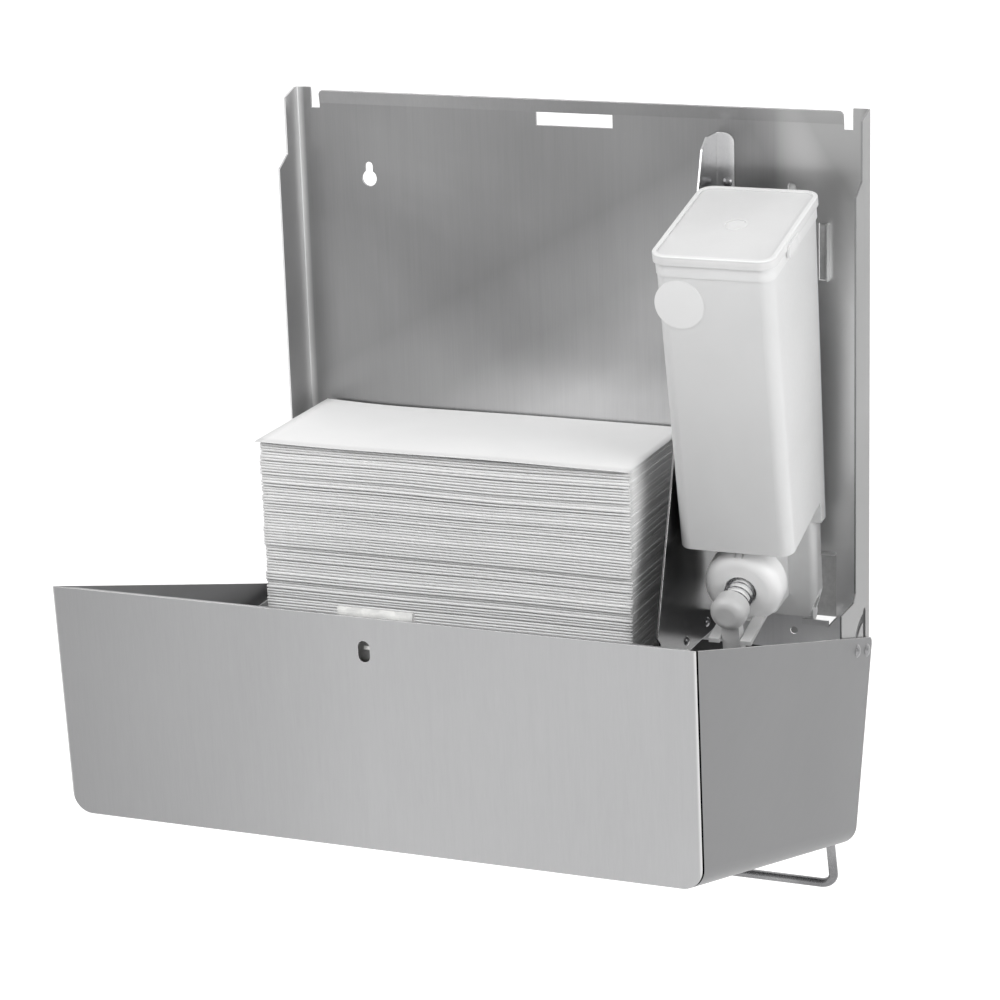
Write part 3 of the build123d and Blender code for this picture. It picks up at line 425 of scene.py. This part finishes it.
# Painted light on the left flange and painted shade on the right one, as each faces the light.
left_flange_painted_light = [(0.0, 1.0), (0.006, 1.0), (0.016, 0.0), (1.0, 0.0)]
right_flange_painted_shade = [(0.0, 0.0), (0.984, 0.0), (0.994, 1.0), (1.0, 1.0)]
rear_face = [(0.0, 0.0), (0.6, 0.0), (0.8, 1.0), (1.0, 1.0)]
plate_strips = [
    (across, plate_low.x, plate_high.x, left_flange_painted_light, (0.72, 0.72, 0.72)),
    (across, plate_low.x, plate_high.x, right_bay_painted_light, (0.86, 0.86, 0.86)),
    # Painted shade: the upper right corner darker.
    (to_corner, 0.18, 0.215, [(0.0, 0.0), (1.0, 1.0)], (0.4, 0.4, 0.4)),
    (across, plate_low.x, plate_high.x, right_flange_painted_shade, (0.3, 0.3, 0.3)),
    (inward, plate_high.y - sheet_thickness, plate_high.y, rear_face, (0.42, 0.42, 0.42)),
]
plate_steel = make_steel(
    "plate steel", (0.56, 0.56, 0.565), (0.86, 0.86, 0.865), (0.3, 0.42),
    cloud_size=5.0, depth=0.000002, grain_share=0.2,
    zones=[(slanting, -0.2, 0.2, painted_slant_shade)], strips=plate_strips,
)
print("plate:", plate_steel.name, "with", len(plate_strips), "strips")

# %% [markdown]
# The partition was left smoother than the plate. Its foot is painted dark, as a painted reflection
# of the dark tray. The brackets and the lever inside the cover are plain grey, with the grain
# across.

# %% Steel of the partition and of the brackets
leaf_low, leaf_high = (Vector(corner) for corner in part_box("partition"))
# Painted reflection of the dark tray at the partition's foot.
painted_tray_reflection = [(0.0, 0.12), (0.15, 0.15), (0.35, 0.34), (0.6, 0.9), (1.0, 0.95)]
mirror_steel = make_steel(
    "partition steel", (0.66, 0.66, 0.665), (0.76, 0.76, 0.765), (0.16, 0.26),
    cloud_size=9.0, depth=0.000002, grain_share=0.2,
    zones=[(upward, leaf_low.z, leaf_high.z, painted_tray_reflection)],
)
small_steel = make_steel(
    "bracket steel", (0.36, 0.36, 0.365), (0.48, 0.48, 0.485), (0.24, 0.38),
    long_axis=0, cloud_size=30.0,
)
print("steels:", mirror_steel.name, small_steel.name)

# %% [markdown]
# The cover is a folded shell with a separate cap. Where the two meet at the sides there is a
# fine gap, whose shade is painted on the shell as a black strip, and the cap's rounded edges beside
# it get a painted highlight. The cap leans with the open cover, so the seam is found by the
# distance from the cap's outer face, along the direction that face looks. The cap is painted darker
# towards its left as shade, the shell is darker at its right end, and the tray is painted dark at
# its right end, as shade beside the partition.

# %% Steel of the cover, and of the tray
swing = math.radians(73.2)
cap_slope = math.radians(19.4)
cap_way = Vector((0.0, -math.sin(swing + cap_slope), math.cos(swing + cap_slope)))
cap_reach = max(cap_way.dot(vertex.co) for vertex in nodes["cover_cap"].data.vertices)
seam_reach = 0.008
near_cap = [(0.0, 0.0), (0.45, 0.0), (0.5, 1.0), (1.0, 1.0)]
# Painted shade of the gap between cap and shell, as a black strip.
seam_shade_strip = (cap_way, cap_reach - seam_reach, cap_reach, near_cap, (0.0, 0.0, 0.0))
shell_low, shell_high = (Vector(corner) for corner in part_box("cover_shell"))
rim_tones = [(0.0, 1.0), (0.0008, 1.0), (0.002, 0.0), (0.998, 0.0), (0.9992, 1.0), (1.0, 1.0)]
# Painted highlight along the cap's rounded side edges.
cap_rim_highlights = (across, shell_low.x, shell_high.x, rim_tones, worn_edge_highlight)
# Painted shade: the cap darker towards its left.
cap_painted_shade = [(0.0, 0.6), (0.5, 0.86), (1.0, 0.88)]
shell_tones = [(0.0, 1.0), (0.98, 1.0), (0.995, 0.7)]
# Painted shade: the tray's right end dark beside the partition.
tray_painted_shade = [(0.0, 1.0), (0.985, 1.0), (0.995, 0.25)]
cap_steel = make_steel(
    "cap steel", (0.42, 0.42, 0.425), (0.5, 0.5, 0.505), (0.38, 0.5), grain_share=0.5,
    zones=[(across, shell_low.x, shell_high.x, cap_painted_shade)], strips=[cap_rim_highlights],
)
shell_steel = make_steel(
    "cover steel", (0.24, 0.24, 0.245), (0.28, 0.28, 0.285), (0.34, 0.44),
    turn=swing - math.pi / 2, long_axis=1,
    zones=[(across, shell_low.x, shell_high.x, shell_tones)], strips=[seam_shade_strip],
)
tray_low, tray_high = (Vector(corner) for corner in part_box("towel_tray"))
tray_steel = make_steel(
    "tray steel", (0.36, 0.36, 0.365), (0.48, 0.48, 0.485), (0.24, 0.38),
    long_axis=0, cloud_size=30.0,
    zones=[(across, tray_low.x, tray_high.x, tray_painted_shade)],
)
print("cap reaches", round(cap_reach, 4))
print("steels:", cap_steel.name, shell_steel.name, tray_steel.name)

# %% [markdown]
# ## Round steel
# Pins, rivets, the bow and the springs are turned or drawn, so they have no belt grain. They have
# fine smears from handling, which show as changes in gloss.

# %% Polished and plated metal
def make_round_metal(name, dark, light, rough, size=60.0):
    material, tree, shader, place = start_material(name, Metallic=1.0)
    smears = use_group(tree, clouds, place.outputs["Object"], Size=size, Low=0.35, High=0.65)
    specks = use_group(tree, speckle, place.outputs["Object"], Size=900.0)
    colour = blend_colours(tree, smears.outputs["Mask"], dark, light)
    join(tree, colour, shader.inputs["Base Color"])
    join(tree, between(tree, specks.outputs["Mask"], *rough), shader.inputs["Roughness"])
    bump(tree, specks.outputs["Height"], shader, 0.00001)
    return material


pin_steel = make_round_metal("pin steel", (0.24, 0.24, 0.245), (0.34, 0.34, 0.345), (0.24, 0.34))
bow_steel = make_round_metal(
    "bow steel", (0.18, 0.18, 0.185), (0.26, 0.26, 0.265), (0.2, 0.32), size=25.0
)
# The latch sits deep in a hole where shade falls; its zinc is lighter than plain zinc, partly its
# own pale tone and partly painted light.
lightened_zinc = make_round_metal("zinc plate", (0.7, 0.7, 0.69), (0.84, 0.84, 0.82), (0.4, 0.55), size=150.0)
wire = make_round_metal(
    "spring wire", (0.16, 0.16, 0.17), (0.34, 0.34, 0.35), (0.2, 0.36), size=200.0
)
ball_steel = make_round_metal(
    "ball steel", (0.72, 0.72, 0.73), (0.86, 0.86, 0.87), (0.05, 0.12), size=200.0
)
print("round metals:", pin_steel.name, bow_steel.name, lightened_zinc.name, wire.name, ball_steel.name)

# %% [markdown]
# ## Milky plastic
# The tank is blown from natural polyethylene. Light goes a little way in and comes out softened, so
# it is part transmission and part scatter. A glass shader would be far too clear. The lid, nut and
# pump head are moulded in a denser white, with less light passing through.

# %% Plastics
def make_plastic(name, dark, light, rough, see_through, scatter, size=12.0, zones=()):
    material, tree, shader, place = start_material(
        name, IOR=1.5, Transmission_Weight=see_through, Subsurface_Weight=scatter,
        Subsurface_Radius=(0.004, 0.004, 0.004), Subsurface_Scale=1.0,
    )
    haze = use_group(tree, clouds, place.outputs["Object"], Size=size, Low=0.3, High=0.7)
    skin_noise = use_group(tree, speckle, place.outputs["Object"], Size=350.0)
    colour = blend_colours(tree, haze.outputs["Mask"], dark, light)
    join(tree, shade_along(tree, place, colour, zones), shader.inputs["Base Color"])
    join(tree, between(tree, skin_noise.outputs["Mask"], *rough), shader.inputs["Roughness"])
    bump(tree, skin_noise.outputs["Height"], shader, 0.00002)
    return material


print("plastics are mixed from haze and a fine skin")

# %% [markdown]
# The tank leans forward, so its rim and the lid are found along the way the tank stands. The wall
# below the rim is a little darker than the rim: the rim is thicker plastic, and its lighter band is
# partly painted light where it lies in shade. The groove round the lid's top is painted darker as
# shade in the recess.

# %% Plastics of the tank and of the pump
rim_lean = math.radians(13.6)
rim_depth, groove_depth = 0.02, 0.003
rim_way = Vector((0.0, -math.sin(rim_lean), math.cos(rim_lean)))
rim_reach = max(rim_way.dot(vertex.co) for vertex in nodes["soap_tank"].data.vertices)
# The rim's band: thicker plastic, and partly painted light over its shade.
rim_thickness_and_light = [(0.0, 0.9), (0.4, 0.9), (0.46, 1.0), (1.0, 1.0)]
tank_plastic = make_plastic(
    "milky tank", (0.85, 0.853, 0.853), (0.9, 0.902, 0.902), (0.34, 0.46), 0.12, 0.3,
    zones=[(rim_way, rim_reach - rim_depth, rim_reach, rim_thickness_and_light)],
)
lid_reach = max(rim_way.dot(vertex.co) for vertex in nodes["tank_lid"].data.vertices)
# Painted shade in the groove round the lid's top.
lid_groove_shade = [(0.0, 1.0), (0.45, 1.0), (0.5, 0.9), (0.66, 0.9), (0.8, 1.0), (1.0, 1.0)]
lid_plastic = make_plastic(
    "lid plastic", (0.73, 0.73, 0.73), (0.79, 0.79, 0.79), (0.36, 0.48), 0.0, 0.35,
    zones=[(rim_way, lid_reach - groove_depth, lid_reach, lid_groove_shade)],
)
nut_plastic = make_plastic(
    "nut plastic", (0.92, 0.92, 0.92), (0.95, 0.95, 0.95), (0.3, 0.42), 0.0, 0.35
)
pump_plastic = make_plastic(
    "pump plastic", (0.6, 0.6, 0.6), (0.67, 0.67, 0.67), (0.3, 0.4), 0.1, 0.3, size=60.0
)
print("plastics:", tank_plastic.name, lid_plastic.name, nut_plastic.name, pump_plastic.name)

# %% [markdown]
# ## Label film, rubber and paper
# The round label is a thin glossy film with nothing printed on it. The seals are black rubber. The
# towels are soft white paper with a fine pressed texture, and show their fibres as a slight mottle.

# %% Film, rubber and paper
def make_skin(name, dark, light, rough, cloud_size, speck_size, depth, sheen=0.0, zones=()):
    material, tree, shader, place = start_material(name, Sheen_Weight=sheen)
    mottle = use_group(tree, clouds, place.outputs["Object"], Size=cloud_size, Low=0.3, High=0.7)
    specks = use_group(tree, speckle, place.outputs["Object"], Size=speck_size)
    tone = tree.nodes.new("ShaderNodeMix")
    tone.inputs[0].default_value = 0.4
    join(tree, mottle.outputs["Mask"], tone.inputs[2])
    join(tree, specks.outputs["Mask"], tone.inputs[3])
    colour = blend_colours(tree, tone.outputs[0], dark, light)
    join(tree, shade_along(tree, place, colour, zones), shader.inputs["Base Color"])
    join(tree, between(tree, specks.outputs["Mask"], *rough), shader.inputs["Roughness"])
    bump(tree, specks.outputs["Height"], shader, depth)
    return material


label_film = make_skin(
    "label film", (0.79, 0.79, 0.79), (0.8, 0.8, 0.8), (0.3, 0.33), 40.0, 2000.0, 0.000002
)
rubber = make_skin(
    "black rubber", (0.02, 0.02, 0.02), (0.05, 0.05, 0.05), (0.6, 0.8), 60.0, 900.0, 0.00003
)
print("film and rubber:", label_film.name, rubber.name)

# %% [markdown]
# The folded edges at the front of the bundle are greyer than the top sheet, because a little
# shadow stays in every fold. The paper takes a lower tone over its first millimetres of depth,
# below the top.

# %% Towel paper
bundle_low, bundle_high = (Vector(corner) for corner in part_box("towel_stack"))
before_folds, past_folds = 0.002, 0.008
fold_tones = [(0.0, 0.84), (0.5, 0.86), (1.0, 1.0)]
fold_shadow = (inward, bundle_low.y - before_folds, bundle_low.y + past_folds, fold_tones)
paper = make_skin(
    "towel paper", (0.92, 0.92, 0.918), (0.96, 0.96, 0.958), (0.85, 0.95),
    20.0, 1100.0, 0.00004, sheen=0.2, zones=[fold_shadow],
)
print("paper:", paper.name)

# %% [markdown]
# ## Giving the solids their finishes
# A solid whose shape is right keeps its mesh and only gets a material.

# %% Assign
finishes = {
    "back_plate": plate_steel,
    "partition": mirror_steel,
    "partition_rivets": pin_steel,
    "towel_tray": tray_steel,
    "tray_rivets": pin_steel,
    "cover_shell": shell_steel,
    "cover_cap": cap_steel,
    "pivot_pins": pin_steel,
    "guide_pins": pin_steel,
    "latch_bracket": lightened_zinc,
    "latch_bolt": lightened_zinc,
    "latch_spring": wire,
    "lever_bracket": small_steel,
    "lever_axle": pin_steel,
    "lever_plate": small_steel,
    "lever_spring": wire,
    "lever_bow": bow_steel,
    "soap_tank": tank_plastic,
    "tank_lid": lid_plastic,
    "tank_label": label_film,
    "pump_nut": nut_plastic,
    "pump_gasket": rubber,
    "pump_cylinder": tank_plastic,
    "check_ball": ball_steel,
    "pump_piston": nut_plastic,
    "piston_seal": rubber,
    "pump_head": pump_plastic,
    "nozzle_guide": pump_plastic,
    "pump_spring": wire,
    "towel_stack": paper,
}
for name, material in finishes.items():
    slots = nodes[name].data.materials
    slots.clear()
    slots.append(material)
print("finished solids:", len(finishes), "of", len(nodes))

# %% [markdown]
# ## The pressed springs
# The springs of the pump and of the latch get shorter when something pushes on them, which a
# solid can't show. Each is stood in for by a mesh of the same coils, which rides on its body and
# keeps its length.

# %% Springs that ride on their bodies
def pressed_spring(name, body):
    """Coils that ride on a body."""
    spring = bpy.data.objects.new(name + "_coils", nodes[name].data.copy())
    bpy.context.scene.collection.objects.link(spring)
    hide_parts(name)
    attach(spring, body)
    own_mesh(spring)


pressed_spring("pump_spring", "tank")
pressed_spring("latch_spring", "cover")

# %% [markdown]
# ## The towels
# A bundle of folded towels is soft. Its sheets are pressed together in groups, with thin dark
# gaps between the groups, and the top towel lies loose with its corner lifted. One way would be
# a block with lines painted on it, but its outline would stay straight. Here each towel is a
# thin flat tube of paper with a rounded front and back, laid on the one below with small shifts.
# Its height follows a slow wave that neighbours share, so the layers run in soft curves, and a
# few gaps open and close.

# %% Sizes of the bundle
bundle = bundle_high - bundle_low
towel_count = 66
steps_across = 40
top_room, top_gap = 0.0022, 0.0004
top_thick, top_overhang = 0.0006, 0.0015
pitch = (bundle.z - top_room) / towel_count
print("bundle:", [round(v * 1000, 1) for v in bundle], "pitch:", round(pitch * 1000, 2), "mm")

# %% [markdown]
# One towel is a flat tube seen from its end: a rounded front fold, a flat underside, a rounded back
# and a flat top. The points are shares of its depth and height, so every towel can use them.

# %% The outline of one folded towel
fold_steps = 5
nose = 0.009


def fold_outline(steps):
    """Points (depth share, height share) round a flat tube with rounded ends."""
    front = [(nose - nose * math.cos(a), 0.5 - 0.5 * math.sin(a)) for a in spread_angles(steps)]
    back = [(1 - y, 1 - up) for y, up in front]
    flat = (0.1, 0.35, 0.65, 0.9)
    return front[::-1] + [(y, 0.0) for y in flat] + back[::-1] + [(y, 1.0) for y in reversed(flat)]


def spread_angles(steps):
    """Angles from straight down to straight up, through the front."""
    return [math.pi / 2 - math.pi * i / (steps - 1) for i in range(steps)]


towel_outline = fold_outline(fold_steps)
print("points round a towel:", len(towel_outline))

# %% [markdown]
# A towel is laid by placing its outline at many steps across the bundle and joining each outline to
# the next. A point's height never leaves the real bundle, and only the loose top towel reaches a
# little past its front and its left end, so the stack keeps its measured size.

# %% Lay one towel
def lay_towel(mesh, thick, base, ends, depths, lift):
    """One folded towel; lift(x share, y share) raises it a little."""
    rows = []
    for i in range(steps_across + 1):
        share = i / steps_across
        x = bundle_low.x + ends[0] + share * (bundle.x - ends[0] - ends[1])
        row = []
        for y_share, up in towel_outline:
            y = bundle_low.y + depths[0] + y_share * (bundle.y - depths[0] - depths[1])
            z = base + up * thick + lift(share, y_share)
            row.append(mesh.verts.new((x, y, min(max(z, bundle_low.z), bundle_high.z))))
        rows.append(row)
    size = len(towel_outline)
    for low_row, high_row in zip(rows, rows[1:]):
        for j in range(size):
            k = (j + 1) % size
            mesh.faces.new((low_row[j], low_row[k], high_row[k], high_row[j]))
    mesh.faces.new(rows[0][::-1])
    mesh.faces.new(rows[-1])


slow_height, fine_height = 0.0016, 0.00025
foot_share = 0.15


def layer_wave(layer):
    """The slow wave of one layer, almost the same as its neighbour's."""
    height = layer / towel_count

    def lift(share, y_share):
        slow = hills.noise(Vector((share * 2.2, y_share * 1.2, layer * 0.055 + 3.0))) * slow_height
        fine = hills.noise(Vector((share * 9.0, y_share * 2.0, layer * 0.4))) * fine_height
        return (slow + fine) * (foot_share + 0.85 * height)

    return lift


print("waves of", slow_height * 1000, "and", fine_height * 1000, "mm")

# %% [markdown]
# The stack is laid from the bottom up. Now and then a new group starts, set back a little, and
# now and then a towel is thinner, which leaves a dark gap above it. The draws come in a fixed
# order from a fixed seed, so the stack is the same each time.

# %% Stack the towels
seed = 7
group_chance, group_setback = 0.22, 0.0016
thin_chance = 0.18


def stack_towels():
    rng = random.Random(seed)
    mesh = bmesh.new()
    setback = 0.0
    for layer in range(towel_count):
        if rng.random() < group_chance:
            setback = rng.uniform(0.0, group_setback)
        depths = (setback + rng.uniform(0.0, 0.0004), rng.uniform(0.0, 0.0015))
        ends = (rng.uniform(0.0, 0.0006), rng.uniform(0.0, 0.001))
        thin = rng.random() < thin_chance
        thick = pitch * (rng.uniform(0.6, 0.78) if thin else rng.uniform(0.86, 0.96))
        lay_towel(mesh, thick, bundle_low.z + layer * pitch, ends, depths, layer_wave(layer))
    return mesh


def loose_lift(share, y_share):
    """The top towel: its left end curls up towards the back and its front droops a little."""
    curl = max(0.0, 1.0 - share / 0.22) ** 2 * (0.25 + 0.75 * y_share) * 0.0012
    wave = hills.noise(Vector((share * 2.4, y_share * 1.1, 8.8))) * 0.0006
    return curl + wave


towel_mesh = stack_towels()
top_base = bundle_high.z - top_room + top_gap
overhang = (-top_overhang, 0.0)
lay_towel(towel_mesh, top_thick, top_base, overhang, overhang, loose_lift)
data = bpy.data.meshes.new("folded towels")
towel_mesh.normal_update()
towel_mesh.to_mesh(data)
towel_mesh.free()
towels = bpy.data.objects.new("folded_towels", data)
bpy.context.scene.collection.objects.link(towels)
for face in towels.data.polygons:
    face.use_smooth = len(face.vertices) == 4
towels.data.materials.append(paper)
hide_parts("towel_stack")
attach(towels, "towels")
print("faces in the bundle:", len(towels.data.polygons))

# %% [markdown]
# ## The studio
# A product photograph stands on seamless white paper in a tent of soft light. The floor and the
# backdrop are white to the camera and to mirrors, by the Light Path node, while the light that
# falls on the object stays even and moderate. Two large soft lamps shape the steel and the
# plastic.

# %% Floor and backdrop
stage_glow = 0.45


def make_stage_white():
    material, tree, shader, _ = start_material(
        "studio paper", Base_Color=(0.8, 0.8, 0.8, 1.0), Roughness=0.9,
        Emission_Color=(1.0, 1.0, 1.0, 1.0),
    )
    path = add(tree, "ShaderNodeLightPath")
    seen = add(tree, "ShaderNodeMath", operation="MAXIMUM")
    either = add(tree, "ShaderNodeMath", operation="MAXIMUM")
    join(tree, path.outputs["Is Camera Ray"], seen.inputs[0])
    join(tree, path.outputs["Is Glossy Ray"], seen.inputs[1])
    join(tree, seen.outputs[0], either.inputs[0])
    join(tree, path.outputs["Is Transmission Ray"], either.inputs[1])
    scale = add(tree, "ShaderNodeMath", operation="MULTIPLY")
    scale.inputs[1].default_value = stage_glow
    join(tree, either.outputs[0], scale.inputs[0])
    join(tree, scale.outputs[0], shader.inputs["Emission Strength"])
    return material


def make_sheet(name, corners, material):
    data = bpy.data.meshes.new(name)
    data.from_pydata(corners, [], [(0, 1, 2, 3)])
    data.materials.append(material)
    sheet = bpy.data.objects.new(name, data)
    bpy.context.scene.collection.objects.link(sheet)


stage_white = make_stage_white()
floor_z, back_y, far = -0.62, 2.2, 6.0
floor_corners = [(x, y, floor_z) for x, y in ((-far, -far), (far, -far), (far, far), (-far, far))]
back_edges = ((-far, floor_z), (far, floor_z), (far, far), (-far, far))
back_corners = [(x, back_y, z) for x, z in back_edges]
make_sheet("floor", floor_corners, stage_white)
make_sheet("backdrop", back_corners, stage_white)
print("floor at", floor_z)

# %% [markdown]
# The dispenser hangs on a wall, which shows dark through the holes behind the tank and below the
# pump. A small patch of grey wall lies there, behind the plate's right bay; its left part is
# painted dark as shade. It is solid only for what is seen straight from the front. From behind,
# and for light and mirrors, it is see-through, so the back of the plate can still be looked at and
# keeps its light.

# %% The wall behind the holes
shadow_from, shadow_to = 0.06, 0.2


def make_wall_with_painted_shade():
    material, tree, shader, place = start_material("wall with painted shade")
    grit = use_group(tree, speckle, place.outputs["Object"], Size=300.0)
    colour = blend_colours(tree, grit.outputs["Mask"], (0.52, 0.52, 0.52), (0.6, 0.6, 0.6))
    # Painted shade: the wall darker towards the left.
    painted_wall_shade = [(0.0, 0.14), (0.45, 0.16), (0.6, 1.0), (1.0, 1.0)]
    colour = shade_along(tree, place, colour, [(across, shadow_from, shadow_to, painted_wall_shade)])
    join(tree, colour, shader.inputs["Base Color"])
    clear = add(tree, "ShaderNodeBsdfTransparent")
    side = add(tree, "ShaderNodeNewGeometry")
    path = add(tree, "ShaderNodeLightPath")
    solid = add(tree, "ShaderNodeMath", operation="SUBTRACT", use_clamp=True)
    join(tree, path.outputs["Is Camera Ray"], solid.inputs[0])
    join(tree, side.outputs["Backfacing"], solid.inputs[1])
    pick = add(tree, "ShaderNodeMixShader")
    join(tree, solid.outputs[0], pick.inputs[0])
    join(tree, clear.outputs["BSDF"], pick.inputs[1])
    join(tree, shader.outputs["BSDF"], pick.inputs[2])
    join(tree, pick.outputs["Shader"], tree.nodes["Material Output"].inputs["Surface"])
    return material


wall_gap, short_of_side, short_of_top, below_plate = 0.0005, 0.004, 0.02, 0.015
wall_y = plate_high.y + wall_gap
wall_left, wall_right = 0.062, plate_high.x - short_of_side
wall_foot, wall_top = plate_low.z - below_plate, plate_high.z - short_of_top
wall_corners = [
    (wall_left, wall_y, wall_foot), (wall_right, wall_y, wall_foot),
    (wall_right, wall_y, wall_top), (wall_left, wall_y, wall_top),
]
make_sheet("wall", wall_corners, make_wall_with_painted_shade())
print("wall behind the plate at", round(wall_y, 4))

# %% [markdown]
# The world is the white tent round the object. The camera sees it at full white, while the light
# that it gives stays lower, so the pale plastic and paper keep their tones.

# %% The world
world = bpy.data.worlds.new("white tent")
bpy.context.scene.world = world
world.use_nodes = True
tree = world.node_tree
sky = tree.nodes["Background"]
sky.inputs["Color"].default_value = (1.0, 1.0, 1.0, 1.0)
path = add(tree, "ShaderNodeLightPath")
level = add(tree, "ShaderNodeMapRange", To_Min=0.76, To_Max=1.0)
join(tree, path.outputs["Is Camera Ray"], level.inputs["Value"])
join(tree, level.outputs["Result"], sky.inputs["Strength"])
print("world:", world.name)

# %% [markdown]
# The key lamp stands high on the left and gives the steel its slope from light to dark. The fill
# lamp on the right opens the shadows on the cover's side. Both are aimed at the middle of the
# cabinet.

# %% The lamps
middle = (0, -0.1, 0)


def make_lamp(name, place, aim, size, power):
    light = bpy.data.lights.new(name, "AREA")
    light.shape = "RECTANGLE"
    light.size, light.size_y = size
    light.energy = power
    lamp = bpy.data.objects.new(name, light)
    lamp.location = place
    lamp.rotation_euler = (Vector(aim) - Vector(place)).to_track_quat("-Z", "Y").to_euler()
    bpy.context.scene.collection.objects.link(lamp)


make_lamp("key", (-1.6, -2.4, 2.2), middle, (2.0, 1.6), 46)
make_lamp("fill", (2.4, -1.2, 1.0), middle, (1.6, 1.6), 30)

# %% [markdown]
# ## The camera
# The picture was taken from above and from the right of the object's middle, with a long lens, and
# cropped, so the middle of the lens isn't the middle of the picture. The shift of the camera does
# the same as the crop.

# %% The camera
camera_data = bpy.data.cameras.new("camera")
camera = bpy.data.objects.new("camera", camera_data)
bpy.context.scene.collection.objects.link(camera)
camera_data.sensor_width = 36.0
camera_data.lens = 115.5
camera_data.shift_x = -0.1135
camera_data.shift_y = 0.0343
camera_data.clip_end = 50.0
right = Vector((0.9365526, 0.34991502, -0.02070537))
down = Vector((0.08350244, -0.28008439, -0.9563368))
ahead = Vector((-0.34043587, 0.89393076, -0.29153252))
stand = Vector((0.73354, -1.87333, 0.5009))
turn = Matrix((right, -down, -ahead)).transposed().to_4x4()
camera.matrix_world = Matrix.Translation(stand) @ turn
bpy.context.scene.camera = camera
bpy.context.scene.view_settings.view_transform = "Standard"
print("camera at", [round(v, 3) for v in camera.matrix_world.translation])
